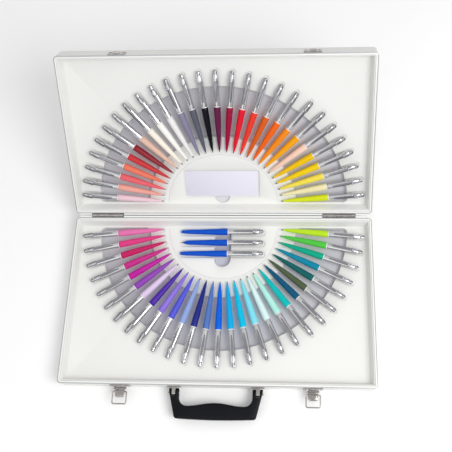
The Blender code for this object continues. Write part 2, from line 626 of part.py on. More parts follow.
# ---- latches -------------------------------------------------------------------------------------
def latch(where, centre):
    """A draw latch that lies open: plate, lever and wire bail on the base, and a keeper on the lid."""
    wall = -FAR
    width, height, thick = LATCH_PLATE
    pivot = (wall - LATCH_PIVOT_OUT, -LATCH_PIVOT)
    face = wall - GAP
    back_plate = box((centre - width / 2, face - thick, -LATCH_TOP - height),
                     (centre + width / 2, face, -LATCH_TOP))
    plate = place(f"latch_{where}_plate", back_plate, base_frame, look=CHROME)
    ears = []
    for side in (-1, 1):
        x = centre + side * (LEVER_WIDTH / 2 + GAP + EAR_THICK / 2)
        ears.append((box((x - EAR_THICK / 2, pivot[0] - EAR_REACH, pivot[1] - EAR_HALF),
                         (x + EAR_THICK / 2, face - thick / 2, pivot[1] + EAR_HALF)), Matrix()))
    combine(plate, place(f"latch_{where}_ears", joined(ears), base_frame, cutter=True), "UNION")
    reach = LEVER_WIDTH / 2 + GAP + EAR_THICK
    bore = rod(LATCH_PIN_RADIUS + PIN_PLAY, (centre - reach - OVERCUT, *pivot),
               (centre + reach + OVERCUT, *pivot))
    combine(plate, place(f"latch_{where}_bore", bore, base_frame, cutter=True))
    place(f"latch_{where}_pin", rod(LATCH_PIN_RADIUS, (centre - reach, *pivot), (centre + reach, *pivot)),
          base_frame, look=CHROME)

    turn = empty(f"latch_{where}_axis", (centre, *pivot))
    turn.parent = base_frame
    strip = box((-LEVER_WIDTH / 2, -LEVER_LENGTH, -LEVER_BARREL),
                (LEVER_WIDTH / 2, 0.0, -LEVER_BARREL + LEVER_THICK))
    lever = place(f"latch_{where}_lever", strip, turn, look=CHROME)
    barrel = rod(LEVER_BARREL, (-LEVER_WIDTH / 2, 0, 0), (LEVER_WIDTH / 2, 0, 0))
    combine(lever, place(f"latch_{where}_lever_barrel", barrel, turn, cutter=True), "UNION")
    seat_y = -BAIL_SEAT
    lug = box((-LEVER_WIDTH / 2, seat_y - LUG_HALF, -LUG_FOOT),
              (LEVER_WIDTH / 2, seat_y + LUG_HALF, LUG_HEIGHT))
    combine(lever, place(f"latch_{where}_lever_lug", lug, turn, cutter=True), "UNION")
    for part, radius, y, z in (("hole", LATCH_PIN_RADIUS + PIN_PLAY, 0.0, 0.0),
                               ("bail_hole", BAIL_WIRE + PIN_PLAY, seat_y, BAIL_LIFT)):
        tool = rod(radius, (-LEVER_WIDTH, y, z), (LEVER_WIDTH, y, z))
        combine(lever, place(f"latch_{where}_lever_{part}", tool, turn, cutter=True))

    half = BAIL_WIDTH / 2
    loop = [(-half, seat_y), (-half, -BAIL_REACH), (half, -BAIL_REACH), (half, seat_y)]
    place(f"latch_{where}_bail", wire_loop(loop, BAIL_WIRE, BAIL_LIFT), turn, look=CHROME)

    width, height, thick = KEEPER_PLATE
    nose_width, nose_height, nose_reach = KEEPER_NOSE
    face = FAR + GAP
    keeper_plate = box((centre - width / 2, face, -KEEPER_TOP - height),
                       (centre + width / 2, face + thick, -KEEPER_TOP))
    keeper = place(f"latch_{where}_keeper", keeper_plate, lid_frame, look=CHROME)
    nose = box((centre - nose_width / 2, face + thick / 2, -KEEPER_RISE - nose_height),
               (centre + nose_width / 2, face + thick + nose_reach, -KEEPER_RISE))
    combine(keeper, place(f"latch_{where}_nose", nose, lid_frame, cutter=True), "UNION")


def wire_loop(points, radius, height):
    """A closed wire through plan points, as a mesh, with its corners rounded."""
    curve = bpy.data.curves.new("wire", "CURVE")
    curve.dimensions = "3D"
    curve.bevel_depth = radius
    curve.bevel_resolution = 2
    curve.render_resolution_u = 0
    line = curve.splines.new("POLY")
    bent = []
    for i, (x, y) in enumerate(points):
        here = Vector((x, y))
        before = (Vector(points[i - 1]) - here).normalized()
        after = (Vector(points[(i + 1) % len(points)]) - here).normalized()
        bend = 1.8 * radius
        bent += [here + before * bend, here + (before + after) * bend * 0.3, here + after * bend]
    line.points.add(len(bent) - 1)
    for point, (x, y) in zip(line.points, bent):
        point.co = (x, y, height, 1.0)
    line.use_cyclic_u = True
    drawn = bpy.data.objects.new("wire", curve)
    cutters.objects.link(drawn)
    return finished(drawn)


# ---- handle --------------------------------------------------------------------------------------
def handle():
    """A moulded grip whose slotted legs turn on pins through the lugs of two brackets on the front wall."""
    pivot_y = -FAR - HANDLE_PIVOT
    turn = empty("handle_axis", (0.0, pivot_y, -HANDLE_DEPTH))
    turn.parent = base_frame
    half = HANDLE_WIDTH / 2
    outer = HANDLE_REACH - HANDLE_PIVOT
    inner = outer - HANDLE_GRIP
    gap_half = half - HANDLE_LEG
    flat_half = gap_half - HANDLE_CUT
    corner_x = half - HANDLE_TAPER - HANDLE_ROUND
    corner_y = -outer + HANDLE_ROUND
    knee = -inner * 0.4
    eye = HANDLE_THICK / 2
    outline = [(-half, eye), (-half, knee)]
    outline += arc((-corner_x, corner_y), HANDLE_ROUND, math.pi, 1.5 * math.pi, 4)
    outline += [(0.0, -outer - HANDLE_CROWN)]
    outline += arc((corner_x, corner_y), HANDLE_ROUND, 1.5 * math.pi, 2 * math.pi, 4)
    outline += [(half, knee), (half, eye), (gap_half, eye), (gap_half, -inner + HANDLE_CUT)]
    for i in range(HANDLE_POINTS + 1):
        across = flat_half * (1 - 2 * i / HANDLE_POINTS)
        wave = 0.5 + 0.5 * math.cos(math.pi * across / flat_half)
        outline.append((across, -inner + HANDLE_BUMP * wave))
    outline += [(-gap_half, -inner + HANDLE_CUT), (-gap_half, eye)]
    grip = place("handle_grip", slab(outline, -HANDLE_THICK / 2, HANDLE_THICK / 2), turn, look=BLACK)
    soften(grip, HANDLE_BEVEL, segments=3, angle=math.radians(60))
    # the back of each leg is a half round about its pin, so that it clears its bracket as it turns
    behind = box((-HANDLE_WIDTH, GAP, -HANDLE_THICK), (HANDLE_WIDTH, HANDLE_THICK, HANDLE_THICK))
    ends = place("handle_ends", behind, turn, cutter=True)
    eyes = rod(eye, (-2 * HANDLE_WIDTH, 0, 0), (2 * HANDLE_WIDTH, 0, 0), 32)
    combine(ends, place("handle_eyes", eyes, turn, cutter=True))
    combine(grip, ends)
    bore = rod(HANDLE_PIN_RADIUS + PIN_PLAY, (-HANDLE_WIDTH, 0, 0), (HANDLE_WIDTH, 0, 0))
    combine(grip, place("handle_bore", bore, turn, cutter=True))

    legs = [("left", HANDLE_LEG / 2 - half), ("right", half - HANDLE_LEG / 2)]
    slot_half = BRACKET_LUG / 2 + GAP
    slot_end = BRACKET_REACH + 2 * GAP
    slots = [(box((middle - slot_half, -slot_end, -HANDLE_THICK),
                  (middle + slot_half, HANDLE_THICK, HANDLE_THICK)), Matrix()) for _, middle in legs]
    combine(grip, place("handle_slots", joined(slots), turn, cutter=True))

    face = -FAR - GAP
    low, high = -HANDLE_DEPTH - BRACKET_HEIGHT / 2, -HANDLE_DEPTH + BRACKET_HEIGHT / 2
    for where, middle in legs:
        plate = box((middle - BRACKET_WIDTH / 2, face - BRACKET_PLATE, low),
                    (middle + BRACKET_WIDTH / 2, face, high))
        bracket = place(f"handle_{where}_bracket", plate, base_frame, look=CHROME)
        lug = box((middle - BRACKET_LUG / 2, pivot_y, -HANDLE_DEPTH - BRACKET_REACH),
                  (middle + BRACKET_LUG / 2, face - BRACKET_PLATE / 2, -HANDLE_DEPTH + BRACKET_REACH))
        eye = rod(BRACKET_REACH, (middle - BRACKET_LUG / 2, pivot_y, -HANDLE_DEPTH),
                  (middle + BRACKET_LUG / 2, pivot_y, -HANDLE_DEPTH), 24)
        combine(bracket, place(f"handle_{where}_lug", lug, base_frame, cutter=True), "UNION")
        combine(bracket, place(f"handle_{where}_eye", eye, base_frame, cutter=True), "UNION")
        hole = rod(HANDLE_PIN_RADIUS + PIN_PLAY, (middle - BRACKET_LUG, pivot_y, -HANDLE_DEPTH),
                   (middle + BRACKET_LUG, pivot_y, -HANDLE_DEPTH))
        combine(bracket, place(f"handle_{where}_hole", hole, base_frame, cutter=True))
        reach = HANDLE_LEG / 2
        pin = rod(HANDLE_PIN_RADIUS, (middle - reach, pivot_y, -HANDLE_DEPTH),
                  (middle + reach, pivot_y, -HANDLE_DEPTH))
        place(f"handle_{where}_pin", pin, base_frame, look=CHROME)


# ---- the object ----------------------------------------------------------------------------------
base_frame = empty("base_frame", (0.0, HINGE_Y, BASE_HEIGHT))
lid_frame = empty("lid_frame", (0.0, HINGE_Y, BASE_HEIGHT), math.pi - OPEN_ANGLE)

shell("base_shell", -1, BASE_HEIGHT, base_frame)
shell("lid_shell", 1, LID_HEIGHT, lid_frame)
rim("base_rim", -1, base_frame)
rim("lid_rim", 1, lid_frame)

blue_rows = [BLUE_FIRST + i * BLUE_PITCH for i in range(len(BLUE_PENS))]
slot = slab(slot_outline(-1, 0.0), -RECESS_FLOOR, OVERCUT)
slot_wall = slab(slot_outline(-1, TRAY_SHEET), -2 * RECESS_FLOOR, 0.0)
tray("base_tray", -1, base_frame, [pen_bed(-1, v) for v in blue_rows] + [slot], slot_wall)

pocket = rounded_rectangle(-CARD_WIDTH / 2 - POCKET_MARGIN, CARD_WIDTH / 2 + POCKET_MARGIN,
                           CARD_NEAR - POCKET_MARGIN, CARD_NEAR + CARD_HEIGHT + POCKET_MARGIN, 0.002, 2)
notch = arc((0.0, CARD_NEAR), NOTCH_RADIUS, math.pi, 2 * math.pi, 12)
tray("lid_tray", 1, lid_frame, [slab(pocket, -DECK - POCKET_SINK, OVERCUT),
                                slab(notch, -DECK - NOTCH_SINK, OVERCUT)])
card_floor = -DECK - POCKET_SINK + GAP
sheet = box((-CARD_WIDTH / 2, CARD_NEAR, card_floor),
            (CARD_WIDTH / 2, CARD_NEAR + CARD_HEIGHT, card_floor + CARD_THICK))
place("info_card", sheet, lid_frame, look=CARD)

for half, side, frame in (("base", -1, base_frame), ("lid", 1, lid_frame)):
    fan(f"{half}_pen_barrels", side, frame, solid_barrel(7), CARRIER_BARREL, MIXED)
    fan(f"{half}_pen_uppers", side, frame, solid_upper(7), CARRIER_UPPER, CHROME)

for where, v in zip(BLUE_PENS, blue_rows):
    blue_pen(where, v, blunt=where != "middle")

for where, side in (("left", -1), ("right", 1)):
    hinge(where, side * HINGE_X)
    latch(where, side * LATCH_X)

handle()
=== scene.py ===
"""Presentation case of ball pens: the finished surfaces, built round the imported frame.

Each half of the case is drawn in its own frame at the hinge axis, as x along the axis, v away from it
and height 0 at the rim plane, and then put in place by one matrix per half.
"""
import json
import math
import random

import bmesh
import bpy
from mathutils import Matrix, Vector, geometry


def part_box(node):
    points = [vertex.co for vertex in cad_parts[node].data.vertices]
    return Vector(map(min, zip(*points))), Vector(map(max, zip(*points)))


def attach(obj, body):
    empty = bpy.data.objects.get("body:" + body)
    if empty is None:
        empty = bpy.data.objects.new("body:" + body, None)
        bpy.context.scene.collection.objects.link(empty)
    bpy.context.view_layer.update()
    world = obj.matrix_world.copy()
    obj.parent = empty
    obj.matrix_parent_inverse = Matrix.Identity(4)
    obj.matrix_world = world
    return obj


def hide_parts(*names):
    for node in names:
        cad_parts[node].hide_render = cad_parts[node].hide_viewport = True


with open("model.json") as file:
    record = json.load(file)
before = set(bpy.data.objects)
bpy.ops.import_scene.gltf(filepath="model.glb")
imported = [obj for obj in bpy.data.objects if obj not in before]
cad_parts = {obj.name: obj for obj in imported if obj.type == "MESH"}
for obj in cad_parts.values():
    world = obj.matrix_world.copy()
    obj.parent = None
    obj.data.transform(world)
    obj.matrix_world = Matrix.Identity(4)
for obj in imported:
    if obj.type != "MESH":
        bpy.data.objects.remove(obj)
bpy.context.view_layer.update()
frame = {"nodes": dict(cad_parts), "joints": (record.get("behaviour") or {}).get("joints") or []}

nodes = frame["nodes"]
joints = {joint["name"]: joint for joint in frame["joints"]}

# ---- sizes read from the frame ----
HINGE = Vector(joints["lid_hinge"]["pos_m"])
OPENING = math.radians(-joints["lid_hinge"]["range_deg"][0])
PLACE = {"base": Matrix.Translation(HINGE),
         "lid": Matrix.Translation(HINGE) @ Matrix.Rotation(math.pi - OPENING, 4, "X")}
SIDE = {"base": -1, "lid": 1}
base_low, base_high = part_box("base_shell")
HALF_W = base_high.x
NEAR = HINGE.y - base_high.y
FAR = HINGE.y - base_low.y


def half_box(node, half):
    """A node's lowest and highest corners in the frame of one half of the case."""
    back = PLACE[half].inverted()
    points = [back @ vertex.co for vertex in nodes[node].data.vertices]
    return (Vector(map(min, zip(*points))), Vector(map(max, zip(*points))))


HEIGHT = {"base": HINGE.z - base_low.z, "lid": -half_box("lid_shell", "lid")[0].z}
RIM_TOP = half_box("base_rim", "base")[1].z
RIM_LOW = half_box("base_rim", "base")[0].z
SHELL_TOP = half_box("base_shell", "base")[1].z

# ---- sizes of the finish, in metres ----
CORNER = 0.006                # the case's upright corners
FOOT_ROUND = 0.0022           # rounding between walls and outer faces
FLOOR_ROUND = 0.0015          # rounding between walls and floor, inside
WALL = 0.0028
FLOOR = 0.0022
RIM_WIDTH = 0.004
TRIM_WIDTH = 0.0013           # metal bead along the rim's outer edge
TRAY_GAP = 0.0003
TRAY_SLOPE = 0.0063
TRAY_SHEET = 0.0012
LIP_DROP = 0.0009             # rim to the tray's flange

PEN_DEPTH = 0.0113            # rim plane to the fan pens' axes
UPPER_RADIUS = 0.0046
DECK = PEN_DEPTH + UPPER_RADIUS + TRAY_GAP
RECESS_DROP = 0.0085
RECESS_IN, RECESS_OUT, RECESS_NEAR = 0.120, 0.201, 0.0165
RECESS_CORNER = 0.007
STEP_RING = 0.0890            # fine moulded line round the middle of each tray
FAN_CENTRE = 0.011
FAN_NIB = 0.0954
FAN_START = math.radians(5.5)
CRADLE_DROP = 0.0011
CRADLE_HALF = 0.0033
PEN_LENGTH = 0.1337
JOINT_AT = 0.0757             # nib to the joint of barrel and upper
CLIP_GAP = 0.0006
BUTTON_OUT = 0.0062

BLUE_PENS = ("back", "middle", "front")
BED_DROP = 0.0018
BED_HALF = 0.0054
SLOT = {"x": 0.0012, "half": 0.0125, "near": 0.0165, "far": 0.0800}
CARD = half_box("info_card", "lid")
POCKET_MARGIN = 0.0022
POCKET_DROP = 0.0020
NOTCH_RADIUS = 0.0120
NOTCH_DROP = 0.0042

# barrel colours, from the left hinge round the handle side to the right hinge, as display values
LID_TINTS = ("EBCBD6", "EDA79B", "E8666F", "EA7A62", "C9393F", "8E2633", "DDB8A6", "F4EDDF", "F3F2EE",
             "ECEAEA", "86819A", "5A5C6A", "0B0B14", "621A44", "9A0C3C", "DE1830", "E63A2C", "D45C1C",
             "EE6412", "F18A18", "F3A40C", "F2CDBA", "EDC00A", "EECB0C", "F0DC4E", "EDE3B2", "D2DC20")
BASE_TINTS = ("E476B0", "DD3F83", "C42263", "C42F86", "BE1F9C", "8E44B0", "DCC8E6", "4C28A0", "8C72D6",
              "5458D2", "8EA4D8", "202A80", "5276BC", "0660DA", "08A8E4", "04BCE2", "7EDDEE", "D6EEEE",
              "B0ECE0", "04BABA", "0C5478", "505C44", "106060", "0686A4", "04A686", "50C246", "B8DE26")
BLUE_TINT = "0450C4"

# ---- shader groups ----


def shader_group(name, inputs, outputs):
    """An empty shader node group with named value inputs and outputs, and its two end nodes."""
    tree = bpy.data.node_groups.new(name, "ShaderNodeTree")
    for socket, value in inputs.items():
        made = tree.interface.new_socket(socket, in_out="INPUT", socket_type="NodeSocketFloat")
        made.default_value = value
    for socket in outputs:
        tree.interface.new_socket(socket, in_out="OUTPUT", socket_type="NodeSocketFloat")
    return tree, tree.nodes.new("NodeGroupInput"), tree.nodes.new("NodeGroupOutput")


def noise(tree, vector, scale, detail=4.0, rough=0.55):
    made = tree.nodes.new("ShaderNodeTexNoise")
    made.inputs["Detail"].default_value = detail
    made.inputs["Roughness"].default_value = rough
    tree.links.new(vector, made.inputs["Vector"])
    feed(tree, scale, made.inputs["Scale"])
    return made.outputs["Fac"]


def feed(tree, value, socket):
    """Links a socket, or sets a plain number."""
    if isinstance(value, (int, float)):
        socket.default_value = value
    else:
        tree.links.new(value, socket)


def sums(tree, operation, a, b, c=None):
    made = tree.nodes.new("ShaderNodeMath")
    made.operation = operation
    for value, socket in zip((a, b, c), made.inputs):
        if value is not None:
            feed(tree, value, socket)
    return made.outputs[0]


def band(tree, value, low, high, to_low, to_high):
    made = tree.nodes.new("ShaderNodeMapRange")
    for number, socket in zip((value, low, high, to_low, to_high), list(made.inputs)[:5]):
        feed(tree, number, socket)
    return made.outputs["Result"]


def blend_colour(tree, share, a, b):
    made = tree.nodes.new("ShaderNodeMix")
    made.data_type = "RGBA"
    feed(tree, share, made.inputs["Factor"])
    for value, socket in ((a, made.inputs["A"]), (b, made.inputs["B"])):
        picks = [s for s in made.inputs if s.name == socket.name and s.type == "RGBA"]
        if isinstance(value, tuple):
            picks[0].default_value = (*value, 1.0)
        else:
            tree.links.new(value, picks[0])
    return next(s for s in made.outputs if s.type == "RGBA")


def place_vector(tree, stretch=(1.0, 1.0, 1.0)):
    where = tree.nodes.new("ShaderNodeTexCoord")
    turn = tree.nodes.new("ShaderNodeMapping")
    turn.inputs["Scale"].default_value = stretch
    tree.links.new(where.outputs["Object"], turn.inputs["Vector"])
    return turn.outputs["Vector"]


def make_moulded_grain():
    """Fine pebbled relief of a moulded or rolled sheet, with the sheen's variation that comes with it."""
    tree, start, end = shader_group("moulded_grain", {"Size": 900.0, "Depth": 0.5, "Patches": 40.0},
                                    ("Height", "Sheen"))
    where = place_vector(tree)
    cells = tree.nodes.new("ShaderNodeTexVoronoi")
    cells.feature = "SMOOTH_F1"
    tree.links.new(where, cells.inputs["Vector"])
    tree.links.new(start.outputs["Size"], cells.inputs["Scale"])
    fine = noise(tree, where, start.outputs["Size"], 3.0)
    pebbles = sums(tree, "MULTIPLY_ADD", cells.outputs["Distance"], -0.6, fine)
    tree.links.new(sums(tree, "MULTIPLY", pebbles, start.outputs["Depth"]), end.inputs["Height"])
    patches = noise(tree, where, start.outputs["Patches"], 5.0)
    tree.links.new(band(tree, patches, 0.3, 0.7, 0.0, 1.0), end.inputs["Sheen"])
    return tree


def make_handling_marks():
    """Soft smudges and faint hair scratches left by handling, as two masks."""
    tree, start, end = shader_group("handling_marks", {"Smudge Size": 18.0, "Scratch Size": 70.0},
                                    ("Smudge", "Scratch"))
    clouds = noise(tree, place_vector(tree), start.outputs["Smudge Size"], 6.0, 0.62)
    tree.links.new(band(tree, clouds, 0.42, 0.72, 0.0, 1.0), end.inputs["Smudge"])
    lines = noise(tree, place_vector(tree, (0.9, 14.0, 11.0)), start.outputs["Scratch Size"], 2.0)
    thin = sums(tree, "ABSOLUTE", sums(tree, "SUBTRACT", lines, 0.5), 0.0)
    broken = noise(tree, place_vector(tree), sums(tree, "MULTIPLY", start.outputs["Scratch Size"], 0.6), 2.0)
    line = band(tree, thin, 0.0, 0.006, 1.0, 0.0)
    gaps = band(tree, broken, 0.5, 0.62, 0.0, 1.0)
    tree.links.new(sums(tree, "MULTIPLY", line, gaps), end.inputs["Scratch"])
    return tree


def make_drawn_lines():
    """Close parallel lines of brushed or drawn metal, along X, as a height and a roughness mask."""
    tree, start, end = shader_group("drawn_lines", {"Line Size": 60.0, "Across": 30.0, "Depth": 0.3},
                                    ("Height", "Streak"))
    where = tree.nodes.new("ShaderNodeTexCoord")
    parts = tree.nodes.new("ShaderNodeSeparateXYZ")
    tree.links.new(where.outputs["Object"], parts.inputs["Vector"])
    together = tree.nodes.new("ShaderNodeCombineXYZ")
    tree.links.new(parts.outputs["X"], together.inputs["X"])
    for axis in ("Y", "Z"):
        stretched = sums(tree, "MULTIPLY", parts.outputs[axis], start.outputs["Across"])
        tree.links.new(stretched, together.inputs[axis])
    lines = noise(tree, together.outputs["Vector"], start.outputs["Line Size"], 5.0, 0.7)
    tree.links.new(sums(tree, "MULTIPLY", lines, start.outputs["Depth"]), end.inputs["Height"])
    tree.links.new(band(tree, lines, 0.3, 0.7, 0.0, 1.0), end.inputs["Streak"])
    return tree


GRAIN = make_moulded_grain()
MARKS = make_handling_marks()
LINES = make_drawn_lines()

# ---- materials ----


def linear(code):
    """A display colour, such as 'E476B0', as linear light."""
    values = [int(code[i:i + 2], 16) / 255 for i in (0, 2, 4)]
    return tuple(v / 12.92 if v <= 0.04045 else ((v + 0.055) / 1.055) ** 2.4 for v in values)


def add_group(tree, group, values):
    """A node of a shared group, with its inputs set in their order."""
    made = tree.nodes.new("ShaderNodeGroup")
    made.node_tree = group
    for value, socket in zip(values, made.inputs):
        socket.default_value = value
    return made


def read_attribute(tree, name, output):
    made = tree.nodes.new("ShaderNodeAttribute")
    made.attribute_name = name
    return made.outputs[output]


def add_relief(tree, shader, heights, bump):
    """The sum of some heights as the surface's bump."""
    height = heights[0]
    for other in heights[1:]:
        height = sums(tree, "ADD", height, other)
    relief = tree.nodes.new("ShaderNodeBump")
    relief.inputs["Strength"].default_value = 1.0
    relief.inputs["Distance"].default_value = bump
    tree.links.new(height, relief.inputs["Height"])
    tree.links.new(relief.outputs["Normal"], shader.inputs["Normal"])


def surface(name, colour, roughness, metallic=0.0, grain=None, marks=None, lines=None, bump=0.00002,
            shade=0.04, coat=0.0, attribute=None, mask=None, specular=0.5):
    """A material from the shared groups.

    grain is (size, depth, patches), marks is (smudge size, scratch size), lines is (size, across, depth).
    attribute names a colour attribute that replaces the plain colour, and mask is (attribute, colour) for
    a second colour where it reaches 1.
    """
    made = bpy.data.materials.new(name)
    made.use_nodes = True
    tree = made.node_tree
    shader = tree.nodes["Principled BSDF"]
    shader.inputs["Metallic"].default_value = metallic
    shader.inputs["Coat Weight"].default_value = coat
    shader.inputs["Coat Roughness"].default_value = 0.08
    shader.inputs["Specular IOR Level"].default_value = specular
    tint = read_attribute(tree, attribute, "Color") if attribute else colour
    if mask:
        tint = blend_colour(tree, read_attribute(tree, mask[0], "Fac"), tint, mask[1])
    rough = roughness
    heights = []
    if grain:
        node = add_group(tree, GRAIN, grain)
        heights.append(node.outputs["Height"])
        rough = band(tree, node.outputs["Sheen"], 0.0, 1.0, roughness - 0.05, roughness + 0.06)
        darker = blend_colour(tree, 1.0 - shade, (0.0, 0.0, 0.0), tint)
        tint = blend_colour(tree, node.outputs["Sheen"], darker, tint)
    if lines:
        node = add_group(tree, LINES, lines)
        heights.append(node.outputs["Height"])
        rough = band(tree, node.outputs["Streak"], 0.0, 1.0, roughness * 0.7, roughness * 1.35)
    if marks:
        node = add_group(tree, MARKS, marks)
        worn = sums(tree, "MULTIPLY_ADD", node.outputs["Smudge"], 0.07, rough)
        rough = sums(tree, "MULTIPLY_ADD", node.outputs["Scratch"], 0.12, worn)
        heights.append(sums(tree, "MULTIPLY", node.outputs["Scratch"], -0.4))
        faded = blend_colour(tree, 1.0 - shade, (0.0, 0.0, 0.0), tint)
        tint = blend_colour(tree, node.outputs["Smudge"], tint, faded)
    if isinstance(tint, tuple):
        shader.inputs["Base Color"].default_value = (*tint, 1.0)
    else:
        tree.links.new(tint, shader.inputs["Base Color"])
    feed(tree, rough, shader.inputs["Roughness"])
    if heights:
        add_relief(tree, shader, heights, bump)
    return made


LAMINATE = surface("case_laminate", linear("E9E9E6"), 0.34, grain=(620.0, 0.6, 9.0),
                   marks=(9.0, 26.0), bump=0.00004, shade=0.02, coat=0.15)
# the second colour, lilac-grey, is painted shade in the recesses, the slot, the thumb notch and the moulded
# line; in the finger recess it also stands for the floor's own slightly greyer tone
TRAY = surface("formed_tray", linear("E9E9E6"), 0.42, grain=(1500.0, 0.4, 14.0),
               bump=0.000012, shade=0.015, mask=("hollow", linear("D3D2D8")))
LIP = surface("rim_lip", linear("F1F1EE"), 0.36, grain=(900.0, 0.4, 20.0),
              bump=0.00001, shade=0.02)
TRIM = surface("edge_trim_metal", linear("C9CBCE"), 0.30, metallic=1.0,
               lines=(40.0, 60.0, 0.4),
               marks=(12.0, 40.0), bump=0.000006)
CHROME = surface("hardware_chrome", linear("BAB6B2"), 0.17, metallic=1.0,
                 marks=(90.0, 120.0), bump=0.000004, shade=0.45)
# painted shade and painted dark reflection: the clips' metal is a darker copy of the pens' bright metal, to
# show the shadow line a clip casts along its upper and the dark outline of its loop
PEN_CLIP_SHADED = surface("pen_clip_shaded_metal", linear("9C9CA2"), 0.16, metallic=1.0,
                   marks=(110.0, 160.0), bump=0.000003, shade=0.2)
PEN_METAL = surface("pen_bright_metal", linear("D9D9DB"), 0.13, metallic=1.0,
                    lines=(90.0, 25.0, 0.3),
                    marks=(90.0, 160.0), bump=0.000003, shade=0.06)
PEN_TINTED = surface("pen_barrel_colours", None, 0.24, attribute="tint",
                     grain=(2600.0, 0.25, 60.0), bump=0.000006, shade=0.06, specular=0.16)
PEN_BLUE = surface("pen_barrel_blue", linear(BLUE_TINT), 0.24,
                   grain=(2600.0, 0.25, 60.0), bump=0.000006, shade=0.06, specular=0.16)
# painted highlight: the joint ring's near-white colour stands for the bright band where barrel meets upper
PEN_RING_HIGHLIGHT = surface("pen_joint_ring", linear("F2F2F2"), 0.22, grain=(2400.0, 0.2, 90.0),
                   bump=0.000003, shade=0.03, coat=0.3)
PEN_NIB = surface("pen_nib_metal", linear("8C8D92"), 0.28, metallic=1.0,
                  lines=(120.0, 20.0, 0.3), bump=0.000003)
HANDLE_BLACK = surface("handle_moulded_black", linear("0B0D13"), 0.40,
                       grain=(1100.0, 1.0, 45.0),
                       marks=(40.0, 60.0), bump=0.00004, shade=0.3, specular=0.16)
CARD_STOCK = surface("card_stock", linear("E3E1EE"), 0.55, grain=(2200.0, 0.5, 120.0),
                     bump=0.000008, shade=0.025)
REFILL = surface("refill_tube", linear("B99A5B"), 0.24, metallic=1.0,
                 lines=(80.0, 30.0, 0.3), bump=0.000003)
SPRING = surface("spring_wire", linear("9FA1A6"), 0.28, metallic=1.0,
                 lines=(200.0, 4.0, 0.3), bump=0.000002)

# ---- mesh tools ----


def new_object(name, data):
    made = bpy.data.objects.new(name, data)
    bpy.context.scene.collection.objects.link(made)
    return made


def add_piece(name, mesh, body, look, replaces=(), place=None, sharp=38.0):
    """Names a mesh, puts it in place, gives it its material and makes it ride on a body."""
    mesh.name = name
    if place is not None:
        mesh.transform(place)
    if sharp:
        mesh.shade_smooth()
        mesh.set_sharp_from_angle(angle=math.radians(sharp))
    mesh.materials.clear()
    mesh.materials.append(look)
    piece = new_object(name, mesh)
    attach(piece, body)
    if replaces:
        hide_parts(*replaces)
    return piece


def to_mesh(shape, tidy=True):
    if tidy:
        bmesh.ops.remove_doubles(shape, verts=shape.verts, dist=1e-7)
        bmesh.ops.recalc_face_normals(shape, faces=shape.faces)
    mesh = bpy.data.meshes.new("shape")
    shape.to_mesh(mesh)
    shape.free()
    return mesh


def sweep(rings, closed=False):
    """A skin over rings of equally many points: joined end to end, or capped at both ends."""
    shape = bmesh.new()
    rows = [[shape.verts.new(point) for point in ring] for ring in rings]
    pairs = list(zip(rows, rows[1:]))
    if closed:
        pairs.append((rows[-1], rows[0]))
    for row, following in pairs:
        for i, vertex in enumerate(row):
            j = (i + 1) % len(row)
            shape.faces.new((vertex, row[j], following[j], following[i]))
    if not closed:
        shape.faces.new(rows[0])
        shape.faces.new(rows[-1])
    return to_mesh(shape)


def joined(meshes):
    shape = bmesh.new()
    for mesh in meshes:
        shape.from_mesh(mesh)
    made = bpy.data.meshes.new("joined")
    shape.to_mesh(made)
    shape.free()
    return made


def arc(centre, radius, start, end, count):
    step = (end - start) / count
    return [(centre[0] + radius * math.cos(start + i * step),
             centre[1] + radius * math.sin(start + i * step)) for i in range(count + 1)]


def circle(radius, count):
    return arc((0, 0), radius, 0.0, 2 * math.pi, count)[:-1]


def quarter_round(steps=5):
    """Points of a quarter round, as shares (across, up) of its radius."""
    turns = [i * math.pi / 2 / steps for i in range(steps + 1)]
    return [(1 - math.sin(turn), 1 - math.cos(turn)) for turn in turns]


def rounded_rectangle(x0, x1, y0, y1, radius, count=8):
    corners = (((x1 - radius, y1 - radius), 0.0), ((x0 + radius, y1 - radius), 0.5),
               ((x0 + radius, y0 + radius), 1.0), ((x1 - radius, y0 + radius), 1.5))
    points = []
    for centre, turn in corners:
        points += arc(centre, radius, turn * math.pi, (turn + 0.5) * math.pi, count)
    return points


def plan(inset):
    """The case's plan as x and v points, drawn in from its walls."""
    radius = max(CORNER - inset, 0.0012)
    return rounded_rectangle(-HALF_W + inset, HALF_W - inset, NEAR + inset, FAR - inset, radius)


def plan_ring(half, inset, height):
    return [(x, SIDE[half] * v, height) for x, v in plan(inset)]


def turned(profile, sides=28, closed=False):
    """A profile of (length, radius) points turned about X."""
    rings = []
    for length, radius in profile:
        rings.append([(length, y, z) for y, z in circle(radius, sides)])
    return sweep(rings, closed)


# ---- shells and rims ----


def make_shell(half):
    """Walls and outer face in one shell, with rounded edges outside and a small round inside."""
    deep = -HEIGHT[half]
    rings = [plan_ring(half, WALL + 0.003, deep + FLOOR)]
    for across, up in quarter_round():
        rings.append(plan_ring(half, WALL + FLOOR_ROUND * across, deep + FLOOR + FLOOR_ROUND * up))
    rings.append(plan_ring(half, WALL, SHELL_TOP))
    rings.append(plan_ring(half, 0.0003, SHELL_TOP))
    rings.append(plan_ring(half, 0.0, SHELL_TOP - 0.0003))
    for up, across in quarter_round():
        rings.append(plan_ring(half, FOOT_ROUND * across, deep + FOOT_ROUND * up))
    rings.append(plan_ring(half, FOOT_ROUND + 0.004, deep))
    add_piece(f"{half}_shell_laminate", sweep(rings), half, LAMINATE, [f"{half}_shell"],
              PLACE[half])


def ring_band(half, inset_low, inset_high, low, high, soft):
    """A closed band round the rim with a rounded rectangular section."""
    section = rounded_rectangle(inset_low, inset_high, low, high, soft, 3)
    return sweep([plan_ring(half, inset, height) for inset, height in section], closed=True)


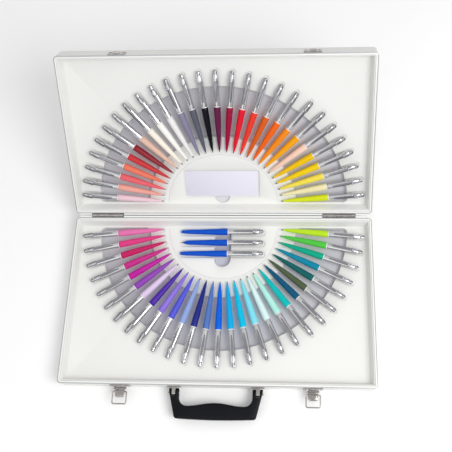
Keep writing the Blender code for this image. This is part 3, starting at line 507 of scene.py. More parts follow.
def make_rim(half):
    trim = ring_band(half, 0.0, TRIM_WIDTH, RIM_LOW, RIM_TOP - 0.0002, 0.0004)
    add_piece(f"{half}_rim_trim", trim, half, TRIM, [f"{half}_rim"], PLACE[half])
    lip = ring_band(half, TRIM_WIDTH + 0.0001, RIM_WIDTH, RIM_LOW, RIM_TOP, 0.0006)
    add_piece(f"{half}_rim_lip", lip, half, LIP, place=PLACE[half])


def make_hinge_edge(half):
    """The rim's edge that closes the gap between the halves, broken where the hinges are."""
    edge = SIDE[half] * half_box("base_rim", "base")[1].y * -1
    starts = [CORNER - HALF_W]
    for where in ("left", "right"):
        low, high = half_box(f"hinge_{where}_base_leaf", "base")
        starts += [low.x - 0.0006, high.x + 0.0006]
    starts.append(HALF_W - CORNER)
    strips = []
    for x0, x1 in zip(starts[::2], starts[1::2]):
        y0, y1 = sorted((edge, SIDE[half] * (NEAR - 0.0001)))
        section = rounded_rectangle(y0, y1, RIM_LOW, RIM_TOP, 0.0006, 3)
        strips.append(sweep([[(x, y, z) for y, z in section] for x in (x0, x1)]))
    add_piece(f"{half}_hinge_edge", joined(strips), half, LIP, place=PLACE[half])


# ---- formed trays ----


def corner_distance(a, b, radius):
    """Distance inside two edges that meet in a corner of that radius."""
    if a < radius and b < radius:
        return radius - math.hypot(radius - a, radius - b)
    return min(a, b)


class HalfRing:
    """A half ring about the fan's centre, cut straight near the hinge, with rounded corners."""

    def __init__(self, inner, outer, near, corner, drop, soft, hollow=0.0, points=72):
        self.inner, self.outer, self.near, self.corner = inner, outer, near, corner
        self.drop, self.soft, self.hollow, self.points = drop, soft, hollow, points

    def distance(self, x, v):
        radius = math.hypot(x, v - FAN_CENTRE)
        straight = v - self.near
        return min(corner_distance(self.outer - radius, straight, self.corner),
                   corner_distance(radius - self.inner, straight, self.corner))

    def side_point(self, edge, rise, outer, left):
        radius = self.outer - edge if outer else self.inner + edge
        up = self.near + rise - FAN_CENTRE
        across = math.sqrt(max(radius * radius - up * up, 0.0))
        return (-across if left else across, self.near + rise)

    def contour(self, inset):
        corner = self.corner
        small = max(corner - inset, 0.0004)
        turns = [i * math.pi / 2 / 6 for i in range(7)]
        bend = [(corner - small * math.cos(t), corner - small * math.sin(t)) for t in turns]
        right_out = [self.side_point(edge, rise, True, False) for edge, rise in reversed(bend)]
        left_out = [(-x, v) for x, v in reversed(right_out)]
        right_in = [self.side_point(edge, rise, False, False) for edge, rise in bend]
        left_in = [(-x, v) for x, v in reversed(right_in)]
        out_start = math.asin((right_out[-1][1] - FAN_CENTRE) / (self.outer - inset))
        in_start = math.asin((right_in[0][1] - FAN_CENTRE) / (self.inner + inset))
        outside = arc((0, FAN_CENTRE), self.outer - inset, out_start, math.pi - out_start, self.points)[1:-1]
        inside = arc((0, FAN_CENTRE), self.inner + inset, math.pi - in_start, in_start, self.points)[1:-1]
        return right_out + outside + left_out + left_in + inside + right_in


class Trough:
    """A round-ended trough between two points."""

    def __init__(self, start, end, half, drop, soft, hollow=0.0, turns=8):
        self.start, self.end, self.half = Vector(start), Vector(end), half
        self.drop, self.soft, self.hollow, self.turns = drop, soft, hollow, turns

    def distance(self, x, v):
        here = Vector((x, v))
        along = self.end - self.start
        length = along.length_squared
        share = 0.0 if length == 0 else min(1.0, max(0.0, (here - self.start).dot(along) / length))
        return self.half - (here - self.start - along * share).length

    def contour(self, inset):
        along = self.end - self.start
        turn = math.atan2(along.y, along.x) if along.length else 0.0
        radius = max(self.half - inset, 0.0002)
        far = arc(self.end, radius, turn - math.pi / 2, turn + math.pi / 2, self.turns)
        near = arc(self.start, radius, turn + math.pi / 2, turn + 1.5 * math.pi, self.turns)
        return far + near


class Pocket:
    """A rounded rectangular pocket."""

    def __init__(self, x0, x1, v0, v1, corner, drop, soft, hollow=0.0):
        self.limits, self.corner = (x0, x1, v0, v1), corner
        self.drop, self.soft, self.hollow = drop, soft, hollow

    def distance(self, x, v):
        x0, x1, v0, v1 = self.limits
        return corner_distance(min(x - x0, x1 - x), min(v - v0, v1 - v), self.corner)

    def contour(self, inset):
        x0, x1, v0, v1 = self.limits
        return rounded_rectangle(x0 + inset, x1 - inset, v0 + inset, v1 - inset,
                                 max(self.corner - inset, 0.0003), 5)


def smooth(share):
    share = min(1.0, max(0.0, share))
    return share * share * (3 - 2 * share)


FLANGE = RIM_WIDTH + TRAY_GAP
SLOPE_START = FLANGE + 0.0008
SLOPE_END = RIM_WIDTH + TRAY_SLOPE
SLOPE_SAMPLES = 9


def border_height(inset):
    return RIM_TOP - LIP_DROP - (DECK - LIP_DROP) * smooth((inset - SLOPE_START) / (SLOPE_END - SLOPE_START))


def border_inset(x, v):
    return corner_distance(HALF_W - abs(x), min(v - NEAR, FAR - v), CORNER)


def tray_height(x, v, features):
    """Height of the formed sheet at a point of the plan, and its mask of painted shade for the hollows."""
    height = border_height(border_inset(x, v))
    drop, hollow = 0.0, 0.0
    for feature in features:
        gap = feature.distance(x, v)
        if gap > -feature.soft:
            share = smooth((gap + feature.soft) / (2 * feature.soft))
            drop = max(drop, feature.drop * share)
            # painted shade: each hollow darkens the tray's colour, fading in across its soft edge
            hollow = max(hollow, feature.hollow * share)
    return height - drop, hollow


def tray_plan(features):
    """Points and triangles of the tray's plan: contours of every slope and trough, and what lies between."""
    points, edges = [], []

    def add_loop(loop):
        first = len(points)
        points.extend(Vector(point) for point in loop)
        edges.extend((first + i, first + (i + 1) % len(loop)) for i in range(len(loop)))

    add_loop(plan(FLANGE))
    for i in range(SLOPE_SAMPLES):
        add_loop(plan(SLOPE_START + (SLOPE_END - SLOPE_START) * i / (SLOPE_SAMPLES - 1)))
    for feature in features:
        count = 7 if feature.drop > 0.004 else 5
        for i in range(count):
            inset = feature.soft * (2 * i / (count - 1) - 1)
            if not isinstance(feature, Trough) or feature.half - inset > 0.0004:
                add_loop(feature.contour(inset))
    solved = geometry.delaunay_2d_cdt(points, edges, [], 0, 1e-6)
    return solved[0], solved[2]


def tray_skin(faces, count, side):
    """The upper triangles, the same ones underneath, and the walls round the open edges."""
    edges = {}
    skin = []
    for face in faces:
        loop = tuple(face) if side > 0 else tuple(reversed(face))
        skin.append(loop)
        edges.update(dict.fromkeys(zip(loop, loop[1:] + loop[:1])))
    under = [tuple(count + i for i in reversed(loop)) for loop in skin]
    walls = [(b, a, count + a, count + b) for a, b in edges if (b, a) not in edges]
    return skin + under + walls


def make_tray(half, features):
    """One formed sheet with its heights, its mask of painted shade in the hollows, and smooth normals taken
    from the tray's shape.
    """
    flat, faces = tray_plan(features)
    side = SIDE[half]
    look = 0.0002
    tops, normals, hollow_shades = [], [], []
    for x, v in flat:
        height, hollow = tray_height(x, v, features)
        run_x = tray_height(x + look, v, features)[0] - tray_height(x - look, v, features)[0]
        run_v = tray_height(x, v + look, features)[0] - tray_height(x, v - look, features)[0]
        tops.append((x, side * v, height))
        normals.append(Vector((-run_x / (2 * look), -side * run_v / (2 * look), 1.0)).normalized())
        hollow_shades.append(hollow)
    mesh = bpy.data.meshes.new("tray")
    below = [(x, y, z - TRAY_SHEET) for x, y, z in tops]
    mesh.from_pydata(tops + below, [], tray_skin(faces, len(tops), side))
    # the mask of painted shade in the hollows, kept on the points for the tray's material
    mask = mesh.attributes.new("hollow", "FLOAT", "POINT")
    mask.data.foreach_set("value", hollow_shades + hollow_shades)
    mesh.transform(PLACE[half])
    turn = PLACE[half].to_3x3()
    world = [turn @ normal for normal in normals]
    mesh.shade_smooth()
    mesh.normals_split_custom_set_from_vertices(world + [-normal for normal in world])
    add_piece(f"{half}_tray_formed", mesh, half, TRAY, [f"{half}_tray"], sharp=None)


def fan_angles(count):
    step = (math.pi - 2 * FAN_START) / (count - 1)
    return [math.pi - FAN_START - i * step for i in range(count)]


def fan_features(count):
    """The finger recess and the shallow cradles that the pens' noses and ends lie over."""
    # the recess and the moulded line carry painted shade on their floors
    features = [HalfRing(RECESS_IN, RECESS_OUT, RECESS_NEAR, RECESS_CORNER, RECESS_DROP, 0.0014, hollow=1.0),
                HalfRing(STEP_RING - 0.0006, STEP_RING + 0.0006, RECESS_NEAR, 0.0005, 0.00045, 0.0005,
                         hollow=0.6, points=60)]
    centre = Vector((0.0, FAN_CENTRE))
    spans = ((FAN_NIB + 0.004, RECESS_IN + 0.002), (RECESS_OUT - 0.002, FAN_NIB + PEN_LENGTH - 0.002))
    for turn in fan_angles(count):
        out = Vector((math.cos(turn), math.sin(turn)))
        for start, end in spans:
            features.append(Trough(centre + out * start, centre + out * end, CRADLE_HALF, CRADLE_DROP,
                                   0.0011))
    return features


def base_features():
    features = fan_features(len(BASE_TINTS))
    # the slot carries painted shade on its floor
    features.append(Pocket(SLOT["x"] - SLOT["half"], SLOT["x"] + SLOT["half"], SLOT["near"], SLOT["far"],
                           SLOT["half"] - 0.0002, RECESS_DROP, 0.0013, hollow=1.0))
    for name in BLUE_PENS:
        low, high = half_box(f"blue_pen_{name}_barrel", "base")
        end = half_box(f"blue_pen_{name}_button", "base")[1].x
        middle = -(low.y + high.y) / 2
        features.append(Trough((low.x + 0.003, middle), (end - 0.003, middle), BED_HALF, BED_DROP, 0.0012))
    return features


def lid_features():
    low, high = CARD
    features = fan_features(len(LID_TINTS))
    features.append(Pocket(low.x - POCKET_MARGIN, high.x + POCKET_MARGIN, low.y - POCKET_MARGIN,
                           high.y + POCKET_MARGIN, 0.003, POCKET_DROP, 0.0007))
    # the thumb notch carries painted shade; the card's pocket has none
    features.append(Trough(((low.x + high.x) / 2, low.y), ((low.x + high.x) / 2, low.y), NOTCH_RADIUS,
                           NOTCH_DROP, 0.0011, hollow=0.9, turns=14))
    return features


# ---- pens ----
NIB_LENGTH = 0.0038
RING_WIDTH = 0.0013
SHOULDER = PEN_LENGTH - BUTTON_OUT
CLIP_WIDTH = 0.0040
LOOP_WIDTH = 0.0068
LOOP_START = 0.1150
LOOP_BAR = 0.0012
CLIP_START = 0.0850
BUTTON_RADIUS = 0.0025
BUTTON_DOME = 0.0012
UPPER_BORE = 0.0036
BUTTON_BORE = 0.00295
SPRING_SEAT = 0.0125
SPRING_TOP = 0.0245
SPRING_BORE = 0.00305
CASING_CONE = 0.0110
CASING_RADIUS = 0.0034
CASING_RISE = 0.0303
CASING_END = 0.0450


def barrel_radius(length):
    """The barrel swells quickly behind the nib and then slowly towards the joint."""
    share = (length - NIB_LENGTH) / (JOINT_AT - NIB_LENGTH)
    return 0.00125 + 0.00375 * math.sin(min(1.0, share * 1.02) * math.pi / 2) ** 0.72 + 0.0002 * share


def barrel_points():
    lengths = [NIB_LENGTH + (JOINT_AT - NIB_LENGTH) * (i / 18) ** 1.5 for i in range(19)]
    points = [(length, barrel_radius(length)) for length in lengths]
    last, radius = points[-1]
    points[-1] = (last - 0.0004, radius)
    points += [(last - 0.0001, radius - 0.0002), (last, radius - 0.0005)]
    return points


def casing_radius(length, tip, nose):
    """The least outer radius that leaves a wall round the refill and the spring."""
    if length < CASING_CONE:
        return nose + (CASING_RADIUS - nose) * (length - tip) / (CASING_CONE - tip)
    return CASING_RADIUS + (length - CASING_CONE) * CASING_RISE


def hollow_barrel(blunt):
    """A loose pen's barrel, bored as the frame's is, so its refill and spring fit at full size."""
    tip, nose, bore = (0.0002, 0.0024, 0.00135) if blunt else (NIB_LENGTH, 0.00125, 0.00105)
    outer = [(tip, nose)] if blunt else []
    for length, radius in barrel_points():
        if length < CASING_END:
            radius = max(radius, casing_radius(length, tip, nose))
        outer.append((length, radius))
    step = SPRING_SEAT - (SPRING_BORE - bore) * 2
    inner = [(outer[-1][0], 0.0040), (SPRING_TOP, SPRING_BORE), (SPRING_SEAT, SPRING_BORE), (step, bore),
             (tip, bore)]
    return turned(outer + inner, 32, closed=True)


def nib_mesh():
    points = [(0.0, 0.0003), (0.0004, 0.0006), (0.0016, 0.0008), (0.0018, 0.0010), (NIB_LENGTH, 0.00128)]
    return turned(points, 20)


def joint_ring_mesh():
    radius = barrel_radius(JOINT_AT)
    end = JOINT_AT + RING_WIDTH
    points = [(JOINT_AT + 0.0001, radius - 0.0007), (JOINT_AT + 0.0003, radius - 0.0003)]
    return turned(points + [(end - 0.0003, radius - 0.0003), (end, radius - 0.0006)], 32)


def upper_points():
    start = JOINT_AT + RING_WIDTH + 0.0001
    points = [(start, UPPER_RADIUS - 0.0003), (start + 0.0003, UPPER_RADIUS)]
    points += [(0.1100, UPPER_RADIUS - 0.0001)]
    for groove in (0.1112, 0.1127):
        points += [(groove - 0.0003, UPPER_RADIUS - 0.0001), (groove, UPPER_RADIUS - 0.0004),
                   (groove + 0.0003, UPPER_RADIUS - 0.0001)]
    points += [(SHOULDER - 0.0060, UPPER_RADIUS - 0.0003), (SHOULDER - 0.0022, UPPER_RADIUS - 0.0012),
               (SHOULDER - 0.0005, UPPER_RADIUS - 0.0016), (SHOULDER, UPPER_RADIUS - 0.0019)]
    return points


def hollow_upper():
    outer = upper_points()
    inner = [(SHOULDER, BUTTON_BORE), (SHOULDER - 0.0030, BUTTON_BORE), (SHOULDER - 0.0040, UPPER_BORE),
             (outer[0][0], UPPER_BORE)]
    return turned([(length, max(radius, 0.0031)) for length, radius in outer] + inner, 32, closed=True)


def button_mesh(start):
    points = [(start, 0.0021), (start + 0.0002, BUTTON_RADIUS), (PEN_LENGTH - BUTTON_DOME, BUTTON_RADIUS)]
    for i in range(1, 6):
        length = PEN_LENGTH - BUTTON_DOME * (1 - math.sin(i * math.pi / 10))
        points.append((length, BUTTON_RADIUS * math.cos(i * math.pi / 10.6)))
    return turned(points, 24)


def clip_mesh():
    """A pressed clip: a tapering strip that ends in a long open loop over the button."""
    rings = []
    top = UPPER_RADIUS + CLIP_GAP + 0.0009
    for i in range(13):
        share = i / 12
        length = CLIP_START + (LOOP_START + 0.0015 - CLIP_START) * share
        half = CLIP_WIDTH / 2 * (0.62 + 0.38 * smooth(share * 1.6)) * min(1.0, 0.55 + share * 4)
        lift = 0.0007 * math.exp(-((share - 0.05) / 0.06) ** 2)
        crown = top + 0.0003 * math.sin(share * math.pi)
        section = rounded_rectangle(-half, half, top - 0.0008 - lift, crown, 0.00025, 2)
        rings.append([(length, y, z) for y, z in section])
    strip = sweep(rings)
    bars = []
    for inset, rise in rounded_rectangle(0.0, LOOP_BAR, -0.0014, 0.0004, 0.0003, 2):
        half = LOOP_WIDTH / 2 - inset
        centre = PEN_LENGTH - LOOP_WIDTH / 2
        outline = arc((centre, 0.0), half, -math.pi / 2, math.pi / 2, 12)
        outline += arc((LOOP_START + LOOP_WIDTH / 2, 0.0), half, math.pi / 2, 1.5 * math.pi, 12)
        ring = []
        for length, across in outline:
            share = smooth((length - LOOP_START) / (PEN_LENGTH - LOOP_START))
            ring.append((length, across, top - 0.0005 - 0.0030 * share + rise))
        bars.append(ring)
    return joined([strip, sweep(bars, closed=True)])


# ---- copies made by geometry nodes ----


def make_copies_tree():
    """Copies of one piece at every point, turned as the point says and carrying the point's tint."""
    tree = bpy.data.node_groups.new("copies_at_points", "GeometryNodeTree")
    face = tree.interface
    face.new_socket("Geometry", in_out="INPUT", socket_type="NodeSocketGeometry")
    face.new_socket("Piece", in_out="INPUT", socket_type="NodeSocketObject")
    face.new_socket("Finish", in_out="INPUT", socket_type="NodeSocketMaterial")
    face.new_socket("Size", in_out="INPUT", socket_type="NodeSocketFloat").default_value = 1.0
    face.new_socket("Geometry", in_out="OUTPUT", socket_type="NodeSocketGeometry")
    start, end = tree.nodes.new("NodeGroupInput"), tree.nodes.new("NodeGroupOutput")
    info = tree.nodes.new("GeometryNodeObjectInfo")
    turn = tree.nodes.new("GeometryNodeInputNamedAttribute")
    turn.data_type = "FLOAT_VECTOR"
    turn.inputs["Name"].default_value = "spin"
    rotation = tree.nodes.new("FunctionNodeEulerToRotation")
    copies = tree.nodes.new("GeometryNodeInstanceOnPoints")
    solid = tree.nodes.new("GeometryNodeRealizeInstances")
    finish = tree.nodes.new("GeometryNodeSetMaterial")
    links = ((start, "Geometry", copies, "Points"), (start, "Piece", info, "Object"),
             (info, "Geometry", copies, "Instance"), (turn, "Attribute", rotation, "Euler"),
             (rotation, "Rotation", copies, "Rotation"), (start, "Size", copies, "Scale"),
             (copies, "Instances", solid, "Geometry"), (solid, "Geometry", finish, "Geometry"),
             (start, "Finish", finish, "Material"), (finish, "Geometry", end, "Geometry"))
    for source, output, target, socket in links:
        tree.links.new(source.outputs[output], target.inputs[socket])
    return tree


COPIES = make_copies_tree()


def copies(spots, piece, look):
    """One plain mesh of a piece repeated at spots, each a place, a turn and a tint."""
    points = bpy.data.meshes.new("spots")
    points.from_pydata([spot[0] for spot in spots], [], [])
    spins = [number for spot in spots for number in spot[1]]
    tints = [number for spot in spots for number in (*spot[2], 1.0)]
    points.attributes.new("spin", "FLOAT_VECTOR", "POINT").data.foreach_set("vector", spins)
    points.attributes.new("tint", "FLOAT_COLOR", "POINT").data.foreach_set("color", tints)
    holder = new_object("spots", points)
    pattern = new_object("pattern", piece)
    change = holder.modifiers.new("copies", "NODES")
    change.node_group = COPIES
    for socket, value in (("Piece", pattern), ("Finish", look)):
        change[COPIES.interface.items_tree[socket].identifier] = value
    bpy.context.view_layer.update()
    graph = bpy.context.evaluated_depsgraph_get()
    made = bpy.data.meshes.new_from_object(holder.evaluated_get(graph))
    for thing in (holder, pattern):
        bpy.data.objects.remove(thing)
    return made


def fan_spots(half, tints, seed):
    """Where each pen of a fan starts, how it is turned, and its colour."""
    rolls = random.Random(seed)
    spots = []
    for turn, tint in zip(fan_angles(len(tints)), tints):
        place = (FAN_NIB * math.cos(turn), SIDE[half] * (FAN_CENTRE + FAN_NIB * math.sin(turn)), -PEN_DEPTH)
        roll = math.radians(rolls.uniform(-9.0, 9.0))
        spots.append((place, (roll, 0.0, SIDE[half] * turn), linear(tint)))
    return spots


def make_fan(half, tints, seed):
    spots = fan_spots(half, tints, seed)
    place = PLACE[half]
    parts = (("pen_barrels", turned(barrel_points(), 28), PEN_TINTED, [f"{half}_pen_barrels"], "pen_colours"),
             ("pen_nibs", nib_mesh(), PEN_NIB, [], "pen_metal"),
             ("pen_joint_rings", joint_ring_mesh(), PEN_RING_HIGHLIGHT, [], "pen_metal"),
             ("pen_uppers", turned(upper_points(), 28), PEN_METAL, [f"{half}_pen_uppers"], "pen_metal"),
             ("pen_clips", clip_mesh(), PEN_CLIP_SHADED, [], "pen_metal"),
             ("pen_buttons", button_mesh(SHOULDER - 0.0004), PEN_METAL, [], "pen_metal"))
    for name, mesh, look, stands_for, slot in parts:
        add_piece(f"{half}_fan_{name}", copies(spots, mesh, look), half, look, stands_for, place)


def make_blue_pen(name):
    """A loose pen: barrel, ring, upper and clip on the pen's body, and its button on a body of its own."""
    node = f"blue_pen_{name}"
    blunt = name != "middle"
    low, high = half_box(f"{node}_barrel", "base")
    start = Matrix.Translation((low.x, (low.y + high.y) / 2, (low.z + high.z) / 2))
    place = PLACE["base"] @ start
    add_piece(f"{node}_barrel_fine", hollow_barrel(blunt), node, PEN_BLUE, [f"{node}_barrel"],
              place)
    add_piece(f"{node}_joint_ring", joint_ring_mesh(), node, PEN_RING_HIGHLIGHT, place=place)
    add_piece(f"{node}_upper_fine", hollow_upper(), node, PEN_METAL, [f"{node}_upper"], place)
    add_piece(f"{node}_clip_fine", clip_mesh(), node, PEN_CLIP_SHADED, [f"{node}_clip"], place)
    button = button_mesh(half_box(f"{node}_button", "base")[0].x - low.x)
    add_piece(f"{node}_button_fine", button, f"{node}_button", PEN_METAL, [f"{node}_button"],
              place)
    for part, look in (("refill", REFILL), ("spring", SPRING)):
        slots = nodes[f"{node}_{part}"].data.materials
        slots.clear()
        slots.append(look)


# ---- hardware ----


def make_rounded_copy(node, body, look, width):
    """A fine version of a CAD node: its own shape with every sharp edge rounded."""
    shape = bmesh.new()
    shape.from_mesh(nodes[node].data)
    bmesh.ops.remove_doubles(shape, verts=shape.verts, dist=2e-6)
    bmesh.ops.dissolve_limit(shape, angle_limit=math.radians(1.5), verts=shape.verts, edges=shape.edges)
    mesh = bpy.data.meshes.new("copy")
    shape.to_mesh(mesh)
    shape.free()
    piece = add_piece(f"{node}_fine", mesh, body, look, [node], sharp=30.0)
    edge = piece.modifiers.new("rounding", "BEVEL")
    edge.width = width
    edge.segments = 2
    edge.limit_method = "ANGLE"
    edge.angle_limit = math.radians(35)
    edge.harden_normals = True
    return piece


PLAIN = (1.0, 1.0, 1.0)


def rivet_mesh(radius, rise):
    points = [(0.0, radius), (rise * 0.3, radius)]
    points += [(rise * (0.3 + 0.7 * math.sin(i * math.pi / 10)), radius * math.cos(i * math.pi / 10.8))
               for i in range(1, 6)]
    return turned(points, 18)


def make_tube(path, radius, sides=14):
    """A closed wire along points in one plane."""
    rings = []
    up = Vector((0.0, 0.0, 1.0))
    for i, point in enumerate(path):
        along = (Vector(path[(i + 1) % len(path)]) - Vector(path[i - 1])).normalized()
        across = along.cross(up)
        rings.append([Vector(point) + across * y + up * z for y, z in circle(radius, sides)])
    return sweep(rings, closed=True)


def make_bail(where):
    low, high = half_box(f"latch_{where}_bail", "base")
    radius = (high.z - low.z) / 2
    outline = rounded_rectangle(low.x + radius, high.x - radius, low.y + radius, high.y - radius, 0.0024, 7)
    path = [(x, y, (low.z + high.z) / 2) for x, y in outline]
    add_piece(f"latch_{where}_bail_wire", make_tube(path, radius), f"latch_{where}_bail", CHROME,
              [f"latch_{where}_bail"], PLACE["base"])


LEVER_ARC = [math.radians(a) for a in range(-88, 89, 11)]


def channel(half, low, high, thick):
    """The closed section of a pressed channel, open downwards, as x and z points."""
    crown = [(half * math.sin(t), low + (high - low) * math.cos(t) ** 0.5) for t in LEVER_ARC]
    across, up = (half - thick) / half, (high - low - thick) / (high - low)
    inner = [(x * across, low + (z - low) * up) for x, z in crown]
    return crown + inner[::-1]


def make_lever(where):
    """A pressed lever: a rolled eye at its pivot, a crowned channel, and two eyes that hold the bail."""
    low, high = half_box(f"latch_{where}_lever", "base")
    pivot = Vector(joints[f"latch_{where}_swing"]["pos_m"]) - HINGE
    tip = Vector(joints[f"latch_{where}_bail_tip"]["pos_m"]) - HINGE
    half = (high.x - low.x) / 2
    length = pivot.y - low.y
    rings = []
    for i in range(13):
        share = i / 12
        wide = half * math.sqrt(max(0.0, 1 - max(0.0, (share - 0.78) / 0.25) ** 2)) * 0.98
        top = pivot.z + 0.0004 - 0.0009 * smooth((share - 0.7) / 0.3)
        section = channel(wide, low.z + 0.0001, top, 0.0006)
        rings.append([(pivot.x + x, pivot.y - 0.0012 - (length - 0.0012) * share, z) for x, z in section])
    parts = [sweep(rings)]
    for centre, radius, start, end in ((pivot, 0.0018, -half, half), (tip, 0.0017, -half, -half + 0.0042),
                                       (tip, 0.0017, half - 0.0042, half)):
        rolled = turned([(start, radius - 0.0003), (start + 0.0003, radius), (end - 0.0003, radius),
                         (end, radius - 0.0003)], 24)
        rolled.transform(Matrix.Translation((pivot.x, centre.y, centre.z)))
        parts.append(rolled)
    add_piece(f"latch_{where}_lever_pressed", joined(parts), f"latch_{where}_lever", CHROME,
              [f"latch_{where}_lever"], Matrix.Translation(HINGE))


HARDWARE = (("hinge_{}_base_leaf", "base", 0.00025), ("hinge_{}_lid_leaf", "lid", 0.00025),
            ("hinge_{}_pin", "base", 0.0002), ("latch_{}_plate", "base", 0.0003),
            ("latch_{}_pin", "base", 0.0002), ("latch_{}_keeper", "lid", 0.0003),
            ("handle_{}_pin", "base", 0.0004), ("handle_{}_bracket", "base", 0.0006))


def make_hardware():
    for where in ("left", "right"):
        for node, body, width in HARDWARE:
            make_rounded_copy(node.format(where), body, CHROME, width)
        make_bail(where)
        make_lever(where)


def make_rivets():
    corners = ((0.12, 0.18), (0.88, 0.18), (0.12, 0.82), (0.88, 0.82))
    row = (0.14, 0.5, 0.86)
    for half in ("base", "lid"):
        spots = []
        for where in ("left", "right"):
            low, high = half_box(f"hinge_{where}_{half}_leaf", half)
            inner = SIDE[half] * (NEAR - TRAY_GAP - 0.0010)
            turn = (0.0, 0.0, -SIDE[half] * math.pi / 2)
            for share in row:
                spots.append(((low.x + (high.x - low.x) * share, inner, low.z + 0.0052), turn, PLAIN))
            plate = f"latch_{where}_plate" if half == "base" else f"latch_{where}_keeper"
            low, high = half_box(plate, half)
            face = SIDE[half] * (FAR + TRAY_GAP + (0.0012 if half == "base" else 0.0010))
            turn = (0.0, 0.0, SIDE[half] * math.pi / 2)
            size = high - low
            for a, b in corners:
                spots.append(((low.x + size.x * a, face, low.z + size.z * b), turn, PLAIN))
        mesh = copies(spots, rivet_mesh(0.0012, 0.0006), CHROME)
        add_piece(f"{half}_hardware_rivets", mesh, half, CHROME, place=PLACE[half])


# ---- handle ----
HANDLE_LEG = 0.0165
HANDLE_GRIP = 0.0185
HANDLE_TAPER = 0.0100
HANDLE_ROUND = 0.0050
HANDLE_CUT = 0.0120
HANDLE_HUMP = 0.0046
HANDLE_BOW = 0.0015
EDGE_POWER = 0.5              # 1 gives a round section and 0 a square one
LUG_SLOT = 0.0066
SLOT_END = 0.0046
PIN_HOLE = 0.00195


def handle_pairs(half, back, outer):
    """Matching points on the outer and inner outlines, from the left leg to the middle of the grip."""
    inner = outer - HANDLE_GRIP
    gap = half - HANDLE_LEG
    corner_x = half - HANDLE_TAPER - HANDLE_ROUND
    corner = arc((-corner_x, -outer + HANDLE_ROUND), HANDLE_ROUND, math.pi * 1.06, 1.5 * math.pi, 8)
    bend = arc((-gap + HANDLE_CUT, -inner + HANDLE_CUT), HANDLE_CUT, math.pi, 1.5 * math.pi, 8)
    pairs = []
    for i in range(24):
        share = (i / 24) ** 1.6
        pairs.append((Vector((-half, back)).lerp(Vector(corner[0]), share),
                      Vector((-gap, back)).lerp(Vector(bend[0]), share)))
    pairs += [(Vector(a), Vector(b)) for a, b in zip(corner, bend)]
    flat = gap - HANDLE_CUT
    for i in range(1, 25):
        share = i / 24
        hump = HANDLE_HUMP * (0.5 - 0.5 * math.cos(math.pi * share))
        bow = HANDLE_BOW * math.sin(share * math.pi / 2)
        left = 1 - share
        pairs.append((Vector((-corner_x * left, -outer - bow)), Vector((-flat * left, -inner + hump))))
    return pairs


def make_handle():
    """A moulded grip whose flat, soft-edged section follows two outlines from leg to leg."""
    low, high = half_box("handle_grip", "base")
    pivot = Vector(joints["handle_swing"]["pos_m"])
    back = high.y + HINGE.y - pivot.y
    outer = pivot.y - HINGE.y - low.y - HANDLE_BOW
    thick = (high.z - low.z) / 2
    pairs = handle_pairs((high.x - low.x) / 2, back, outer)
    mirror = Vector((-1.0, 1.0))
    pairs += [(a * mirror, b * mirror) for a, b in reversed(pairs[:-1])]
    rings = []
    for i, (outside, inside) in enumerate(pairs):
        middle, reach = (outside + inside) / 2, (outside - inside) / 2
        to_end = min(i, len(pairs) - 1 - i)
        behind = max(0.0, middle.y) / thick
        close = 1.0 - 0.12 * behind ** 4
        swell = (0.86 + 0.14 * smooth((to_end - 22) / 12)) * math.sqrt(max(0.06, 1.0 - (behind * 0.98) ** 2))
        ring = []
        for j in range(32):
            c, d = math.cos(math.pi * j / 16), math.sin(math.pi * j / 16)
            spot = middle + reach * math.copysign(abs(c) ** EDGE_POWER, c) * close
            ring.append((spot.x, spot.y, math.copysign(abs(d) ** EDGE_POWER, d) * thick * close * swell))
        rings.append(ring)
    grip = carved(sweep(rings), leg_cuts((high.x - low.x) / 2))
    add_piece("handle_grip_moulded", grip, "handle", HANDLE_BLACK, ["handle_grip"],
              Matrix.Translation(pivot), sharp=40.0)


def leg_cuts(half):
    """Each leg's slot for its bracket's lug, and the hole for its pin."""
    cuts = []
    for side in (-1, 1):
        middle = side * (half - HANDLE_LEG / 2)
        section = rounded_rectangle(middle - LUG_SLOT / 2, middle + LUG_SLOT / 2, -SLOT_END, 0.02, 0.0006, 2)
        cuts.append(sweep([[(x, y, z) for x, y in section] for z in (-0.02, 0.02)]))
        hole = turned([(-HANDLE_LEG, PIN_HOLE), (HANDLE_LEG, PIN_HOLE)], 24)
        hole.transform(Matrix.Translation((middle, 0.0, 0.0)))
        cuts.append(hole)
    return cuts


def carved(mesh, cuts):
    """A mesh with closed cutters taken out of it, as a plain mesh."""
    blank = new_object("blank", mesh)
    tools = []
    for cut in cuts:
        tool = new_object("cutter", cut)
        change = blank.modifiers.new("cut", "BOOLEAN")
        change.operation = "DIFFERENCE"
        change.solver = "EXACT"
        change.object = tool
        tools.append(tool)
    bpy.context.view_layer.update()
    made = bpy.data.meshes.new_from_object(blank.evaluated_get(bpy.context.evaluated_depsgraph_get()))
    for thing in (blank, *tools):
        bpy.data.objects.remove(thing)
    return made


def make_card():
    low, high = CARD
    soft = 0.00012
    levels = ((soft, low.z), (0.0, low.z + soft), (0.0, high.z - soft), (soft, high.z))
    rings = []
    for inset, height in levels:
        outline = rounded_rectangle(low.x + inset, high.x - inset, low.y + inset, high.y - inset, 0.0008, 4)
        rings.append([(x, y, height) for x, y in outline])
    add_piece("info_card_sheet", sweep(rings), "lid", CARD_STOCK, ["info_card"], PLACE["lid"])


# ---- the object ----
for half in ("base", "lid"):
    make_shell(half)
    make_rim(half)
    make_hinge_edge(half)
make_tray("base", base_features())
make_tray("lid", lid_features())
make_card()
make_fan("base", BASE_TINTS, 4)
make_fan("lid", LID_TINTS, 9)
for pen in BLUE_PENS:
    make_blue_pen(pen)
make_hardware()
make_rivets()
make_handle()

# ---- floor, light and camera ----


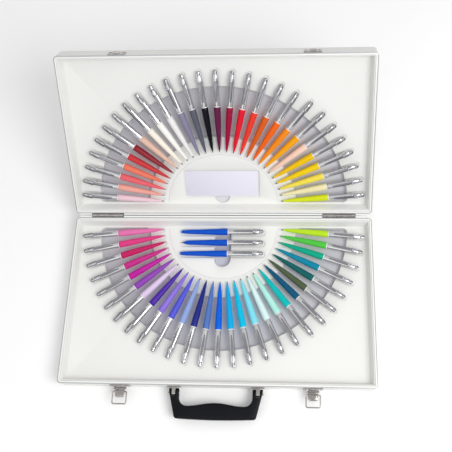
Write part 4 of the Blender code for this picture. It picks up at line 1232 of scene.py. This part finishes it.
def make_floor():
    shape = bmesh.new()
    bmesh.ops.create_grid(shape, x_segments=1, y_segments=1, size=6.0)
    floor = new_object("studio_floor", to_mesh(shape, tidy=False))
    floor.location.z = base_low.z - 0.0002
    look = bpy.data.materials.new("studio_paper")
    look.use_nodes = True
    shader = look.node_tree.nodes["Principled BSDF"]
    shader.inputs["Base Color"].default_value = (0.95, 0.95, 0.95, 1.0)
    shader.inputs["Roughness"].default_value = 0.9
    floor.data.materials.append(look)


def make_light(name, place, size, power, aim=(0.0, 0.05, 0.05)):
    data = bpy.data.lights.new(name, "AREA")
    data.shape = "DISK"
    data.size = size
    data.energy = power
    light = new_object(name, data)
    light.location = place
    light.rotation_euler = (Vector(aim) - Vector(place)).to_track_quat("-Z", "Y").to_euler()


def make_sky():
    """A bright dome that darkens towards the horizon, with a pale backdrop past the floor."""
    sky = bpy.data.worlds.new("studio_sky")
    sky.use_nodes = True
    tree = sky.node_tree
    where = tree.nodes.new("ShaderNodeTexCoord")
    parts = tree.nodes.new("ShaderNodeSeparateXYZ")
    tree.links.new(where.outputs["Generated"], parts.inputs["Vector"])
    dome = band(tree, parts.outputs["Z"], 0.03, 0.42, 0.08, 1.0)
    path = tree.nodes.new("ShaderNodeLightPath")
    level = sums(tree, "MAXIMUM", dome, path.outputs["Is Camera Ray"])
    colour = tree.nodes.new("ShaderNodeCombineColor")
    for channel_name in ("Red", "Green", "Blue"):
        tree.links.new(level, colour.inputs[channel_name])
    tree.links.new(colour.outputs["Color"], tree.nodes["Background"].inputs["Color"])
    tree.nodes["Background"].inputs["Strength"].default_value = SKY_LEVEL
    bpy.context.scene.world = sky


SKY_LEVEL = 0.76
CAMERA_LENS = 56.46           # millimetres on a 36 mm sensor
CAMERA_SHIFT = (-0.0597, -0.0996)
CAMERA_TURN = Vector((2.7574, 0.0166, -0.0944))
CAMERA_OFFSET = Vector((-0.0498, 0.0559, 1.1485))


def make_camera():
    """The camera's place and turn are given from the hinge axis, in a frame that looks along +Z."""
    data = bpy.data.cameras.new("camera")
    data.sensor_width = 36.0
    data.lens = CAMERA_LENS
    data.shift_x, data.shift_y = CAMERA_SHIFT
    data.clip_end = 50.0
    camera = new_object("camera", data)
    turn = Matrix.Rotation(CAMERA_TURN.length, 3, CAMERA_TURN.normalized())
    flip = Matrix.Diagonal((1.0, -1.0, -1.0))
    camera.matrix_world = (Matrix.Translation(HINGE - turn.transposed() @ CAMERA_OFFSET)
                           @ (turn.transposed() @ flip).to_4x4())
    bpy.context.scene.camera = camera


make_floor()
make_sky()
make_light("key_softbox", (0.9, -0.5, 1.40), 1.0, 14.5)
make_light("front_fill", (-0.5, -1.3, 1.2), 1.4, 2.4)
make_camera()
bpy.context.scene.view_settings.view_transform = "Standard"
